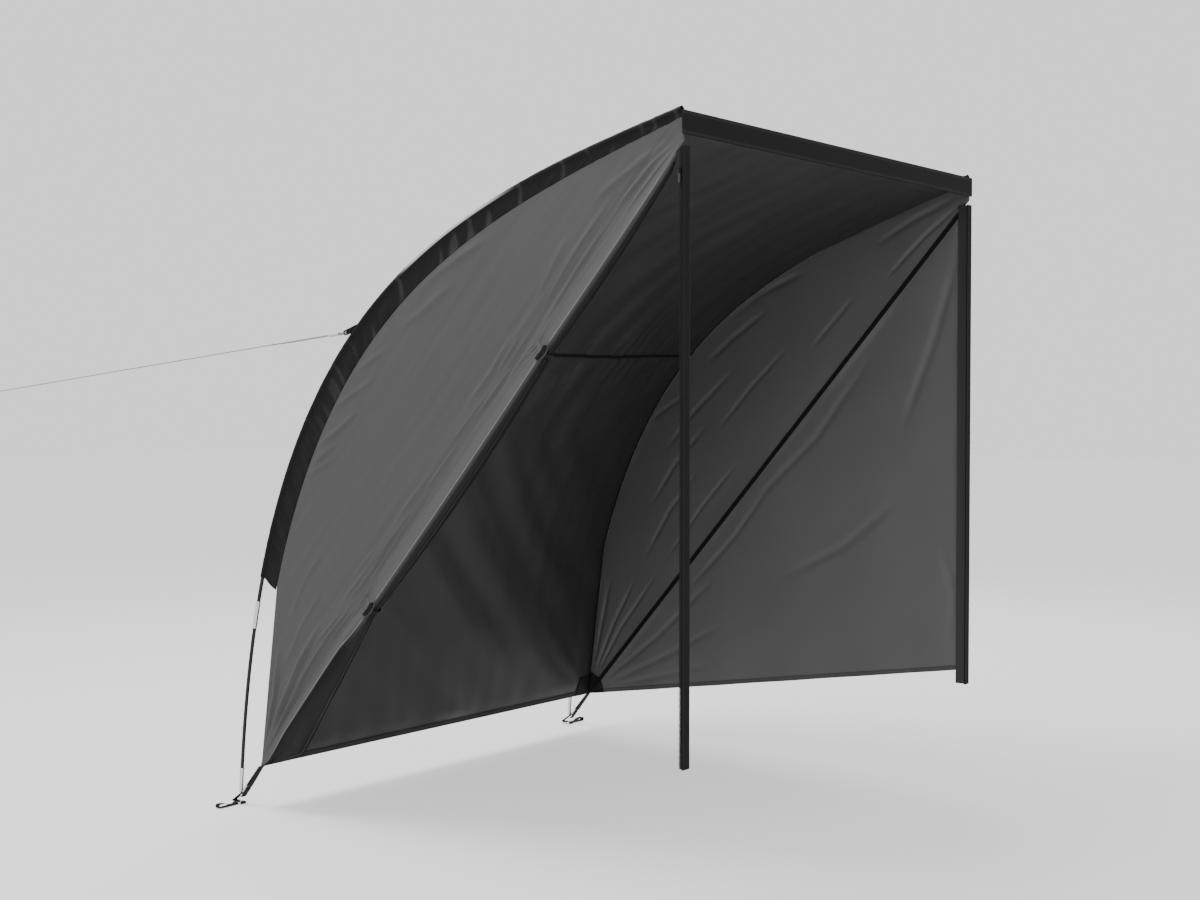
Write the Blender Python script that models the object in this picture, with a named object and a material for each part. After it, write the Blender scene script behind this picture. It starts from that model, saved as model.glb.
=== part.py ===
"""Bicycle storage tent: a lean-to of two hooped poles that stands against an upright wall.

Metres, +Z up. The wall is the plane X = 0 and the tent reaches out along -X, from its near arch at
-Y to its far arch at +Y. Heights in the functions count from the ground, and an empty lowers the
whole tent so that the origin is the middle of the header band's face on the wall.
"""
import math

import bmesh
import bpy
from mathutils import Matrix, Vector

# The two arches
WIDTH = 1.65            # from one pole to the other, along Y
DEPTH = 1.66            # from the wall to the poles' feet
HEIGHT = 1.978          # of the poles at the wall
FOOT_LEAN = math.radians(3.0)
FOOT_HANDLE = 1.59      # how far the pole rises before the bend takes over
TOP_SLOPE = math.radians(14.1)
TOP_HANDLE = 0.79       # how far the pole runs down from the wall before the bend
ARCH_STEPS = 40

# Pole sections and their metal sleeves
POLE_RADIUS = 0.0055
POLE_SECTIONS = 5
POLE_START = 0.049      # the rod's lower end, measured along the arch
POLE_STOP_SHORT = 0.052  # the rod's upper end stops this far from the wall
SECTION_GAP = 0.001
FERRULE_LENGTH = 0.086
FERRULE_WALL = 0.0010
END_FERRULE_TOP = 0.113
END_FERRULE_LIP = 0.010  # the closed end below the rod
PIN_RADIUS = 0.0030
PIN_LENGTH = 0.017
EYELET_ROOM = 0.0009    # round the pin in the foot strap
TIP_LENGTH = 0.018
TIP_RADIUS = 0.0068
TIP_ROUND = 0.002
ROUND_SIDES = 10

# Cloth
SHEET = 0.003           # the cloth with its seam allowances
SLEEVE_START = 0.720    # the sleeve's lower end, measured along the arch
SLEEVE_WALL = 0.0014
SLEEVE_SLANT = 0.019    # its lower end is cut lower at the panel than at the pole
SLEEVE_LOW = 0.066      # from the pole to the panel's seam: at the lower end, midway, at the wall
SLEEVE_MID = 0.083
SLEEVE_TOP = 0.019
FIN_SHEET = 0.0024
CORNER_IN = 0.095       # the hem's outer corner, from the foot and above the ground
CORNER_UP = 0.129
WALL_HEM_UP = 0.370     # the side hem where it meets the wall
DIAGONAL_TOP_DOWN = 0.078  # the door seam where it meets the wall, below the pole
CROSS_SEAM_UP = 1.420
DOOR_POINT = 0.004      # how blunt the far door's pointed corner is
CROSS_SEAM_WIDTH = 0.022
SHELL_COLUMNS = 16
SHELL_SAG = 0.022
FOLD_DEPTH = 0.005
FOLD_COUNT = 9
FOLD_REACH = 0.62

# Edges on the wall
HEADER_DOWN = 0.036     # the middle of the header band, below the pole
HEADER_TALL = 0.060
HEADER_THICK = 0.004
HEADER_OVERHANG = 0.010
STRIP_THICK = 0.004
STRIP_WIDE = 0.030
STRIP_OUTSIDE = 0.008   # the part of the strip's width outside the arch's plane
STRIP_FOOT_UP = 0.320
ZIP_WEB_DEEP = 0.010
ZIP_WEB_THICK = 0.0012
ZIP_BEAD = 0.0036
ZIP_NEAR_DOWN = 0.163   # the near slider is run to the top, this far below the pole
ZIP_FAR_UP = 0.395      # the far one is run to the bottom
DOOR_EDGE_GAP = 0.0010  # between the slider and the door's own edge

# Zip slider and its pull
SLIDER_TALL = 0.014
SLIDER_WALL = 0.0022
SLIDER_LIP = 0.0030     # how far it reaches over the web, behind the bead
BAIL_WIDE = 0.0024
BAIL_THICK = 0.0016
BAIL_ROOM = 0.0023      # under the bail
BAIL_IN = 0.0012        # from the slider's ends
PULL_BAR = 0.0013
PULL_WIDE = 0.008
PULL_TALL = 0.034

# The near door, rolled up along its seam; sizes are the roll's width and half its thickness
ROLL_START = 0.012      # from the corner, along the seam
ROLL_POINT = (0.010, 0.0045)
ROLL_FLARE_AT = 0.165
ROLL_FLARE = (0.104, 0.0100)
ROLL_WAIST = (0.035, 0.0175)
ROLL_BELLY = (0.019, 0.0065)  # what it swells by between the ties
ROLL_TIP = (0.024, 0.0110)
ROLL_TOP_SHORT = 0.055  # the roll ends this far before the wall
ROLL_CREASE = 0.16      # how deep its folds are, as a share of its radius
ROLL_LOBES = 4
ROLL_TWIST = 2.4        # radians that the folds turn in a metre
ROLL_SIDES = 24

# Its ties
TIE_LOW = 0.708         # along the seam from the corner
TIE_HIGH = 1.677
TIE_WIDE = 0.014
TIE_ROOM = 0.001        # between the tie's edge and the end of the roll's waist
TIE_THICK = 0.0014
TIE_TAIL = 0.016        # the sewn end, on the panel
TIE_LIFT = 0.003        # where it leaves the panel, from the seam
TIE_MOUTH = 60.0        # degrees that the loop leaves open at the seam
TOGGLE_LENGTH = 0.048
TOGGLE_RADIUS = 0.0055

# Feet: straps, buckle, ring and peg loop
WEBBING = 0.0016
STRAP_WIDE = 0.020
STRAP_TAIL = 0.034
STRAP_FOLD = 0.0275     # it folds back this far outside the foot
STRAP_LEAD = 0.010      # its straight run before it rounds a buckle's bar
BUCKLE_IN = 0.0240      # the buckle's lowest bar, from the foot and above the ground
BUCKLE_UP = 0.0435
BUCKLE_PITCH = 0.011    # from bar to bar
BUCKLE_THICK = 0.003
BUCKLE_BAR = 0.0028
BUCKLE_RAIL = 0.003
RING_SIDE = 0.030       # between the centres of two opposite sides
RING_BEND = 0.004
RING_WIRE = 0.0019      # radius
RING_UP = 0.0047
RING_MIDDLE = -0.005    # from the foot, along X
PEG_LOOP_LONG = 0.074
PEG_LOOP_HIGH = 0.0135
PEG_LOOP_WIDE = 0.018
PEG_LOOP_SEAM = 0.026   # where its two layers are sewn together
PEG_EYE_FLAT = 0.016    # the eye stays fully open this far back from its round end
PEG_EYE_NECK = 0.010    # and closes within this far of the seam

# Guy line
GUY_UP = 1.450          # where its loop is sewn to the near arch
GUY_FALL = math.radians(5.5)
GUY_EYE = 0.034         # from the sleeve to the eye of the webbing loop
GUY_EYE_RADIUS = 0.0062
GUY_LOOP_BASE = 0.034
GUY_LOOP_WIDE = 0.009
GUY_RADIUS = 0.0016
GUY_LENGTH = 1.80       # from the eye to the free end
GUY_TAIL = 0.30
GUY_SLIDER_LONG = 0.043
GUY_SLIDER_WIDE = 0.018
GUY_SLIDER_THICK = 0.008
GUY_SLIDER_CHAMFER = 0.002
GUY_SLIDER_IN = 0.024   # from the eye to the slider's inner end
GUY_TRAVEL = 0.15
GUY_STRAIGHT = 0.010    # of both strands, past the slider's travel and past the tail's end

GAP = 0.0003            # between pieces that touch

NEAR = -1
FAR = 1
SIDES = ((NEAR, "near"), (FAR, "far"))

# Materials: colour, roughness, metallic
FINISHES = {
    "grey_cloth": ((0.120, 0.120, 0.122), 0.62, 0.0),
    "dark_cloth": ((0.030, 0.030, 0.031), 0.70, 0.0),
    "sleeve_cloth": ((0.014, 0.014, 0.015), 0.60, 0.0),
    "webbing": ((0.010, 0.010, 0.011), 0.75, 0.0),
    "fibreglass": ((0.008, 0.008, 0.009), 0.35, 0.0),
    "steel": ((0.60, 0.60, 0.61), 0.28, 1.0),
    "black_plastic": ((0.012, 0.012, 0.013), 0.45, 0.0),
    "grey_plastic": ((0.42, 0.42, 0.43), 0.40, 0.0),
    "cord": ((0.50, 0.50, 0.51), 0.65, 0.0),
}


def material(name):
    """One Principled BSDF for each finish."""
    found = bpy.data.materials.get(name)
    if found:
        return found
    colour, roughness, metallic = FINISHES[name]
    made = bpy.data.materials.new(name)
    made.use_nodes = True
    shader = made.node_tree.nodes["Principled BSDF"]
    shader.inputs["Base Color"].default_value = (*colour, 1.0)
    shader.inputs["Roughness"].default_value = roughness
    shader.inputs["Metallic"].default_value = metallic
    made.diffuse_color = (*colour, 1.0)
    return made


def place(name, bm, finish, origin=(0.0, 0.0, 0.0), smooth=30.0):
    """Turn a bmesh, drawn in the tent's frame, into a named object with its origin where it turns."""
    bmesh.ops.recalc_face_normals(bm, faces=bm.faces)
    bmesh.ops.translate(bm, verts=bm.verts, vec=-Vector(origin))
    mesh = bpy.data.meshes.new(name)
    bm.to_mesh(mesh)
    bm.free()
    mesh.shade_smooth()
    mesh.set_sharp_from_angle(angle=math.radians(smooth))
    made = bpy.data.objects.new(name, mesh)
    made.location = origin
    made.parent = bpy.data.objects["tent_frame"]
    mesh.materials.append(material(finish))
    bpy.context.scene.collection.objects.link(made)
    return made


# The arch, as a chain of straight steps that every piece on it follows

def ease(share):
    """A smooth step from 0 to 1."""
    share = min(max(share, 0.0), 1.0)
    return share * share * (3.0 - 2.0 * share)


def bezier(first, second, third, last, share):
    rest = 1.0 - share
    return (first * rest ** 3 + second * (3.0 * rest * rest * share)
            + third * (3.0 * rest * share * share) + last * share ** 3)


def arch_chain():
    """The pole's centre line in X and Z, as equal steps from the foot to the wall."""
    foot = Vector((-DEPTH, 0.0))
    top = Vector((0.0, HEIGHT))
    foot_handle = foot + FOOT_HANDLE * Vector((math.sin(FOOT_LEAN), math.cos(FOOT_LEAN)))
    top_handle = top - TOP_HANDLE * Vector((math.cos(TOP_SLOPE), math.sin(TOP_SLOPE)))
    fine = 800
    curve = [bezier(foot, foot_handle, top_handle, top, i / fine) for i in range(fine + 1)]
    run = [0.0]
    for before, after in zip(curve, curve[1:]):
        run.append(run[-1] + (after - before).length)
    chain = []
    index = 0
    for step in range(ARCH_STEPS + 1):
        target = run[-1] * step / ARCH_STEPS
        while index < fine - 1 and run[index + 1] < target:
            index += 1
        share = (target - run[index]) / (run[index + 1] - run[index])
        chain.append(curve[index].lerp(curve[index + 1], share))
    return chain


CHAIN = arch_chain()
RUNS = [0.0]
for before, after in zip(CHAIN, CHAIN[1:]):
    RUNS.append(RUNS[-1] + (after - before).length)
ARCH_LENGTH = RUNS[-1]


def along(run):
    """Point and inward normal of the arch at a distance from the foot."""
    run = min(max(run, 0.0), ARCH_LENGTH)
    index = 0
    while index < ARCH_STEPS - 1 and RUNS[index + 1] < run:
        index += 1
    share = (run - RUNS[index]) / (RUNS[index + 1] - RUNS[index])
    point = CHAIN[index].lerp(CHAIN[index + 1], share)
    tangent = (CHAIN[index + 1] - CHAIN[index]).normalized()
    neighbour = None
    if share < 1e-6 and index > 0:
        neighbour = CHAIN[index] - CHAIN[index - 1]
    if share > 1.0 - 1e-6 and index < ARCH_STEPS - 1:
        neighbour = CHAIN[index + 2] - CHAIN[index + 1]
    if neighbour:
        tangent = (tangent + neighbour.normalized()).normalized()
    return point, Vector((tangent.y, -tangent.x))


def follow(start, stop):
    """Distances from start to stop with the chain's own joints between them."""
    inner = [run for run in RUNS if start + 0.002 < run < stop - 0.002]
    return [start, *inner, stop]


def run_where(value, measure):
    """The distance along the arch at which a rising measure reaches a value."""
    low, high = 0.0, ARCH_LENGTH
    for _ in range(50):
        middle = (low + high) / 2.0
        if measure(middle) < value:
            low = middle
        else:
            high = middle
    return low


def seam_offset(run):
    """From the pole to the panel's seam, square to the arch."""
    share = (run - SLEEVE_START) / (ARCH_LENGTH - SLEEVE_START)
    rest = 1.0 - share
    return SLEEVE_LOW * rest * rest + 2.0 * SLEEVE_MID * share * rest + SLEEVE_TOP * share * share


def seam_point(run):
    point, inward = along(run)
    return point + inward * seam_offset(run)


def square_to(line):
    """The unit vector square to a line in X and Z, turned towards the wall where the line rises."""
    return Vector((line.y, -line.x)).normalized()


HEADER_UP = HEIGHT - HEADER_DOWN
DIAGONAL_TOP_UP = HEIGHT - DIAGONAL_TOP_DOWN
ZIP_NEAR_UP = HEIGHT - ZIP_NEAR_DOWN
FACET_GAP = GAP / math.cos(math.pi / ROUND_SIDES)
FERRULE_BORE = POLE_RADIUS + FACET_GAP
SLEEVE_BORE = FERRULE_BORE + FERRULE_WALL + FACET_GAP
SLEEVE_RADIUS = SLEEVE_BORE + SLEEVE_WALL
CLOTH_END_X = -(HEADER_THICK + GAP)
CLOTH_END = run_where(CLOTH_END_X, lambda run: seam_point(run).x)
CROSS_SEAM = run_where(CROSS_SEAM_UP, lambda run: seam_point(run).y)
POLE_STOP = run_where(-POLE_STOP_SHORT, lambda run: along(run)[0].x)
SLEEVE_STOP = CLOTH_END - GAP
CORNER = Vector((-DEPTH + CORNER_IN, CORNER_UP))
DIAGONAL_TOP = Vector((CLOTH_END_X, DIAGONAL_TOP_UP))
LOW_SEAM = seam_point(SLEEVE_START)
DIAGONAL = (DIAGONAL_TOP - CORNER).normalized()
DOORWARD = square_to(DIAGONAL)


def profile(start, stop):
    """Points and inward normals of the body's edge: run 0 is the corner, above it the arch's runs."""
    rows = []
    low_normal = square_to(LOW_SEAM - CORNER)
    if start < SLEEVE_START:
        rows.append((CORNER, low_normal))
        rows.append((CORNER.lerp(LOW_SEAM, 0.5), low_normal))
        start = SLEEVE_START
    for run in follow(start, stop):
        normal = along(run)[1]
        if run == SLEEVE_START:
            normal = (normal + low_normal).normalized()
        if run == CLOTH_END:
            normal = Vector((0.0, -1.0))
        rows.append((seam_point(run), normal))
    return rows


# Ways to make a closed body

def bridge(bm, first, second):
    count = len(first)
    for i in range(count):
        j = (i + 1) % count
        bm.faces.new((first[i], first[j], second[j], second[i]))


def ring_on_arch(bm, side, run, radius):
    point, inward = along(run)
    ring = []
    for i in range(ROUND_SIDES):
        turn = 2.0 * math.pi * (i + 0.5) / ROUND_SIDES
        flat = point + inward * (radius * math.cos(turn))
        ring.append(bm.verts.new((flat.x, side * WIDTH / 2.0 + radius * math.sin(turn), flat.y)))
    return ring


def turned_on_arch(side, outline, hollow=False):
    """A body turned about the pole's line: outline holds distances and radii, in order."""
    bm = bmesh.new()
    rings = [ring_on_arch(bm, side, run, radius) for run, radius in outline]
    for first, second in zip(rings, rings[1:]):
        bridge(bm, first, second)
    if hollow:
        bridge(bm, rings[-1], rings[0])
    else:
        bm.faces.new(rings[0])
        bm.faces.new(rings[-1])
    return bm


def extruded(outline, to_world, low, high):
    """A flat outline drawn out between two distances; to_world places (u, v, distance)."""
    bm = bmesh.new()
    bottom = [bm.verts.new(to_world(u, v, low)) for u, v in outline]
    top = [bm.verts.new(to_world(u, v, high)) for u, v in outline]
    bm.faces.new(bottom)
    bm.faces.new(list(reversed(top)))
    bridge(bm, bottom, top)
    return bm


def box(low, high):
    (x0, y0, z0), (x1, y1, z1) = low, high
    return extruded([(x0, y0), (x1, y0), (x1, y1), (x0, y1)], lambda u, v, w: (u, v, w), z0, z1)


def in_side_plane(u, v, distance):
    """Outlines of the side panels: u is X, v is the height, distance is Y."""
    return (u, distance, v)


def arc(centre, radius, start, stop, steps):
    """Points on an arc, angles in degrees."""
    points = []
    for i in range(steps + 1):
        angle = math.radians(start + (stop - start) * i / steps)
        points.append(Vector((centre[0] + radius * math.cos(angle), centre[1] + radius * math.sin(angle))))
    return points


def ribbon(path, thickness):
    """The closed outline of a strip that follows an open path."""
    path = [Vector(point) for point in path]
    left, right = [], []
    for i, point in enumerate(path):
        before = (point - path[i - 1]).normalized() if i > 0 else None
        after = (path[i + 1] - point).normalized() if i < len(path) - 1 else None
        along_path = before + after if before and after else before or after
        along_path = along_path.normalized()
        normal = Vector((-along_path.y, along_path.x))
        spread = 1.0
        if before and after:
            spread = 1.0 / max(0.5, normal.dot(Vector((-before.y, before.x))))
        left.append(point + normal * (thickness / 2.0 * spread))
        right.append(point - normal * (thickness / 2.0 * spread))
    return left + list(reversed(right))


def combine(target, guide, operation):
    """Join a guide's shape to an object or cut it out, and keep the guide hidden."""
    guide.hide_render = True
    guide.display_type = "WIRE"
    change = target.modifiers.new("shape", "BOOLEAN")
    change.operation = operation
    change.solver = "EXACT"
    change.object = guide


# Poles

def pole_pieces():
    """Each arch is a rod in sections, joined by metal ferrules."""
    pitch = (POLE_STOP - POLE_START) / POLE_SECTIONS
    for side, word in SIDES:
        for number in range(POLE_SECTIONS):
            low = POLE_START + pitch * number + (SECTION_GAP / 2.0 if number else 0.0)
            high = POLE_START + pitch * (number + 1) - SECTION_GAP / 2.0
            outline = [(run, POLE_RADIUS) for run in follow(low, high)]
            place(f"{word}_pole_section_{number + 1}", turned_on_arch(side, outline), "fibreglass")
        for number in range(1, POLE_SECTIONS):
            middle = POLE_START + pitch * number
            runs = follow(middle - FERRULE_LENGTH / 2.0, middle + FERRULE_LENGTH / 2.0)
            outline = [(run, FERRULE_BORE + FERRULE_WALL) for run in runs]
            outline += [(run, FERRULE_BORE) for run in reversed(runs)]
            place(f"{word}_ferrule_{number}", turned_on_arch(side, outline, hollow=True), "steel")
        shoulder = POLE_START - END_FERRULE_LIP
        outline = [(shoulder - PIN_LENGTH, PIN_RADIUS), (shoulder, PIN_RADIUS)]
        outline += [(run, FERRULE_BORE + FERRULE_WALL) for run in follow(shoulder + GAP, END_FERRULE_TOP)]
        outline += [(run, FERRULE_BORE) for run in reversed(follow(POLE_START - GAP, END_FERRULE_TOP))]
        place(f"{word}_end_ferrule", turned_on_arch(side, outline), "steel")
        skirt = POLE_STOP - TIP_LENGTH * 0.6
        cap = POLE_STOP + TIP_LENGTH * 0.4
        outline = [(cap, TIP_RADIUS * 0.7), (cap - TIP_ROUND, TIP_RADIUS), (skirt, TIP_RADIUS)]
        outline += [(skirt, FERRULE_BORE), (POLE_STOP + GAP, FERRULE_BORE)]
        place(f"{word}_pole_tip", turned_on_arch(side, outline), "black_plastic")


# Cloth pieces

def pole_sleeve(side, word):
    """A tunnel for the pole with a flat fin that reaches in to the panel's seam."""
    bm = bmesh.new()
    outer_rings, inner_rings, fins = [], [], []
    centre_y = side * WIDTH / 2.0
    runs = follow(SLEEVE_START, SLEEVE_STOP)
    runs.insert(1, SLEEVE_START + GAP)
    for run in runs:
        point, inward = along(run)
        rings = ([], [])
        for i in range(ROUND_SIDES):
            turn = 2.0 * math.pi * (i + 0.5) / ROUND_SIDES
            for ring, radius in zip(rings, (SLEEVE_RADIUS, SLEEVE_BORE)):
                flat = point + inward * (radius * math.cos(turn))
                y = centre_y + radius * math.sin(turn)
                ring.append(bm.verts.new((flat.x, y, flat.y)))
        outer_rings.append(rings[0])
        inner_rings.append(rings[1])
        reach = max(seam_offset(run) - GAP, SLEEVE_RADIUS + SLEEVE_WALL)
        flat = point + inward * reach
        if run == SLEEVE_START:
            edge = LOW_SEAM - CORNER
            flat = LOW_SEAM - edge.normalized() * SLEEVE_SLANT - square_to(edge) * GAP
        fin = [bm.verts.new((flat.x, centre_y + sign * FIN_SHEET / 2.0, flat.y)) for sign in (-1, 1)]
        fins.append(fin)
    last = ROUND_SIDES - 1
    for i in range(len(fins) - 1):
        here, there = outer_rings[i], outer_rings[i + 1]
        for j in range(last):
            bm.faces.new((here[j], here[j + 1], there[j + 1], there[j]))
        bm.faces.new((here[last], fins[i][0], fins[i + 1][0], there[last]))
        bm.faces.new((fins[i][0], fins[i][1], fins[i + 1][1], fins[i + 1][0]))
        bm.faces.new((fins[i][1], here[0], there[0], fins[i + 1][1]))
        bridge(bm, inner_rings[i + 1], inner_rings[i])
    for i in (0, len(fins) - 1):
        rim, hole = outer_rings[i], inner_rings[i]
        for j in range(ROUND_SIDES):
            k = (j + 1) % ROUND_SIDES
            bm.faces.new((rim[j], rim[k], hole[k], hole[j]))
        bm.faces.new((rim[last], rim[0], fins[i][1], fins[i][0]))
    place(f"{word}_pole_sleeve", bm, "sleeve_cloth")


def side_panel(side, word):
    """The fixed cloth between the arch's seam and the door seam."""
    outline = [point for point, _ in profile(0.0, CLOTH_END)]
    outline.append(DIAGONAL_TOP)
    middle = side * WIDTH / 2.0
    bm = extruded(outline, in_side_plane, middle - SHEET / 2.0, middle + SHEET / 2.0)
    place(f"{word}_side_panel", bm, "grey_cloth")


def shell_body(start, stop, outer, inner):
    """A curved sheet between the side panels that sags between the arches and has soft folds."""
    rows = profile(start, stop)
    half = WIDTH / 2.0 - SHEET / 2.0 - GAP
    corner_up = CORNER.y
    bm = bmesh.new()
    grids = ([], [])
    for point, inward in rows:
        rise = (point.y - corner_up) / (HEIGHT - corner_up)
        taper = max(0.0, math.sin(math.pi * min(1.0, rise)))
        lines = ([], [])
        for column in range(SHELL_COLUMNS + 1):
            y = half * (2.0 * column / SHELL_COLUMNS - 1.0)
            across = 1.0 - (y / half) ** 2
            away = half - abs(y)
            angle = math.atan2(point.y - corner_up, max(away, 1e-6))
            near_corner = max(0.0, 1.0 - math.hypot(away, point.y - corner_up) / FOLD_REACH)
            fold = FOLD_DEPTH * math.sin(FOLD_COUNT * angle) * near_corner * math.sqrt(across)
            push = SHELL_SAG * across * taper + max(0.0, fold) * taper ** 0.5
            for line, depth in zip(lines, (outer, inner)):
                flat = point + inward * (push + depth)
                line.append(bm.verts.new((flat.x, y, flat.y)))
        for grid, line in zip(grids, lines):
            grid.append(line)
    for grid in grids:
        for here, there in zip(grid, grid[1:]):
            for j in range(SHELL_COLUMNS):
                bm.faces.new((here[j], here[j + 1], there[j + 1], there[j]))
    skin, lining = grids
    for j in range(SHELL_COLUMNS):
        bm.faces.new((skin[0][j], skin[0][j + 1], lining[0][j + 1], lining[0][j]))
        bm.faces.new((skin[-1][j], skin[-1][j + 1], lining[-1][j + 1], lining[-1][j]))
    for i in range(len(rows) - 1):
        bm.faces.new((skin[i][0], skin[i + 1][0], lining[i + 1][0], lining[i][0]))
        bm.faces.new((skin[i][-1], skin[i + 1][-1], lining[i + 1][-1], lining[i][-1]))
    return bm


def shell_pieces():
    """The outer wall, the roof and the taped seam where they meet."""
    place("outer_wall_panel", shell_body(0.0, CROSS_SEAM - GAP / 2.0, 0.0, SHEET), "dark_cloth")
    place("roof_panel", shell_body(CROSS_SEAM + GAP / 2.0, CLOTH_END, 0.0, SHEET), "dark_cloth")
    under = SHEET + GAP
    reach = CROSS_SEAM_WIDTH / 2.0
    tape = shell_body(CROSS_SEAM - reach, CROSS_SEAM + reach, under, under + WEBBING)
    place("cross_seam_tape", tape, "sleeve_cloth")


def diagonal_height(x):
    """The door seam's height above a place on X."""
    return CORNER.y + (x - CORNER.x) * DIAGONAL.y / DIAGONAL.x


def hem_height(x):
    """The side hem, from the outer corner up to the wall."""
    share = (x - CORNER.x) / (0.0 - CORNER.x)
    return CORNER_UP + (WALL_HEM_UP - CORNER_UP) * share


BEAD_FACE = -(STRIP_THICK + ZIP_WEB_DEEP + ZIP_BEAD)
SLIDER_FRONT = BEAD_FACE - GAP - SLIDER_WALL
DOOR_EDGE = SLIDER_FRONT - DOOR_EDGE_GAP


def far_door():
    """The closed door: a flap that hangs from the seam, with its free edge at the wall zip."""
    start = CORNER + DIAGONAL * DOOR_POINT + DOORWARD * GAP
    outline = [
        start,
        Vector((start.x + DOOR_POINT, hem_height(start.x + DOOR_POINT))),
        Vector((DOOR_EDGE, hem_height(DOOR_EDGE))),
        Vector((DOOR_EDGE, diagonal_height(DOOR_EDGE) - GAP / DIAGONAL.x)),
    ]
    middle = FAR * WIDTH / 2.0
    bm = extruded(outline, in_side_plane, middle - SHEET / 2.0, middle + SHEET / 2.0)
    hinge = (CORNER.x, middle + SHEET / 2.0, CORNER.y)
    place("far_door_panel", bm, "grey_cloth", origin=hinge)


def roll_span(start, first, stop, last, swell, steps):
    """Stations of the roll between two places: distance, width and half thickness."""
    stations = []
    for i in range(steps + 1):
        share = (1.0 - math.cos(math.pi * i / steps)) / 2.0
        belly = math.sin(math.pi * share) ** 0.6
        size = [low + (high - low) * share + extra * belly for low, high, extra in zip(first, last, swell)]
        stations.append((start + (stop - start) * share, *size))
    return stations


def roll_stations():
    """The roll from its flat, flared lower end through both ties to its tip."""
    end = (DIAGONAL_TOP.x - ROLL_TOP_SHORT - CORNER.x) / DIAGONAL.x
    room = TIE_WIDE / 2.0 + TIE_ROOM
    plain = (0.0, 0.0)
    slight = (0.0, ROLL_BELLY[1] / 2.0)
    half = [size / 2.0 for size in ROLL_BELLY]
    stations = roll_span(ROLL_START, ROLL_POINT, ROLL_FLARE_AT, ROLL_FLARE, plain, 4)
    stations += roll_span(ROLL_FLARE_AT, ROLL_FLARE, TIE_LOW - room, ROLL_WAIST, slight, 7)[1:]
    stations += roll_span(TIE_LOW + room, ROLL_WAIST, TIE_HIGH - room, ROLL_WAIST, ROLL_BELLY, 12)
    stations += roll_span(TIE_HIGH + room, ROLL_WAIST, end, ROLL_TIP, half, 4)
    return stations


def door_roll():
    """The near door rolled up tight, with long folds, held in by two ties and spread at the hem."""
    bm = bmesh.new()
    rings = []
    for distance, width, thick in roll_stations():
        centre = CORNER + DIAGONAL * distance + DOORWARD * (width / 2.0 + GAP)
        ring = []
        for i in range(ROLL_SIDES):
            turn = 2.0 * math.pi * i / ROLL_SIDES
            free = (1.0 + math.cos(turn)) / 2.0
            fold = (1.0 + math.cos(ROLL_LOBES * turn + ROLL_TWIST * distance)) / 2.0
            reach = 1.0 - ROLL_CREASE * fold * free
            flat = centre + DOORWARD * (width / 2.0 * reach * math.cos(turn))
            y = NEAR * (WIDTH / 2.0 + thick * reach * math.sin(turn))
            ring.append(bm.verts.new((flat.x, y, flat.y)))
        rings.append(ring)
    for first, second in zip(rings, rings[1:]):
        bridge(bm, first, second)
    bm.faces.new(rings[0])
    bm.faces.new(rings[-1])
    place("near_door_roll", bm, "grey_cloth", smooth=50.0)


def across_seam(distance):
    """Places outlines drawn square to the near door seam: u towards the door, v outwards."""
    def to_world(u, v, offset):
        flat = CORNER + DIAGONAL * (distance + offset) + DOORWARD * u
        return (flat.x, NEAR * WIDTH / 2.0 + NEAR * v, flat.y)
    return to_world


def roll_ties():
    """Cloth loops sewn to the panel on both faces, each with a toggle that lies along the roll."""
    width, thick = ROLL_WAIST
    clear = GAP + TIE_THICK / 2.0
    level = SHEET / 2.0 + clear
    centre_u = width / 2.0 + GAP
    reach_u = width / 2.0 + clear + GAP
    reach_v = thick + clear + GAP
    half = TIE_WIDE / 2.0
    steps = 12
    for distance, word in ((TIE_LOW, "lower"), (TIE_HIGH, "upper")):
        path = [Vector((-TIE_TAIL, level)), Vector((-TIE_LIFT, level))]
        for i in range(steps + 1):
            angle = math.radians((360.0 - TIE_MOUTH) * (0.5 - i / steps))
            path.append(Vector((centre_u + reach_u * math.cos(angle), reach_v * math.sin(angle))))
        path += [Vector((-TIE_LIFT, -level)), Vector((-TIE_TAIL, -level))]
        outline = ribbon(path, TIE_THICK)
        place(f"{word}_tie", extruded(outline, across_seam(distance), -half, half), "grey_cloth")
        lift = reach_v + TIE_THICK / 2.0 + GAP + TOGGLE_RADIUS
        centre = Vector(across_seam(distance)(centre_u, lift, 0.0))
        axis = Vector((DIAGONAL.x, 0.0, DIAGONAL.y))
        bm = bmesh.new()
        bmesh.ops.create_cone(bm, cap_ends=True, segments=10, radius1=TOGGLE_RADIUS,
                              radius2=TOGGLE_RADIUS, depth=TOGGLE_LENGTH)
        turn = axis.to_track_quat("Z", "Y").to_matrix().to_4x4()
        bmesh.ops.transform(bm, matrix=Matrix.Translation(centre) @ turn, verts=bm.verts)
        place(f"{word}_toggle", bm, "black_plastic", origin=centre)


# Wall edges and zips

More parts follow.
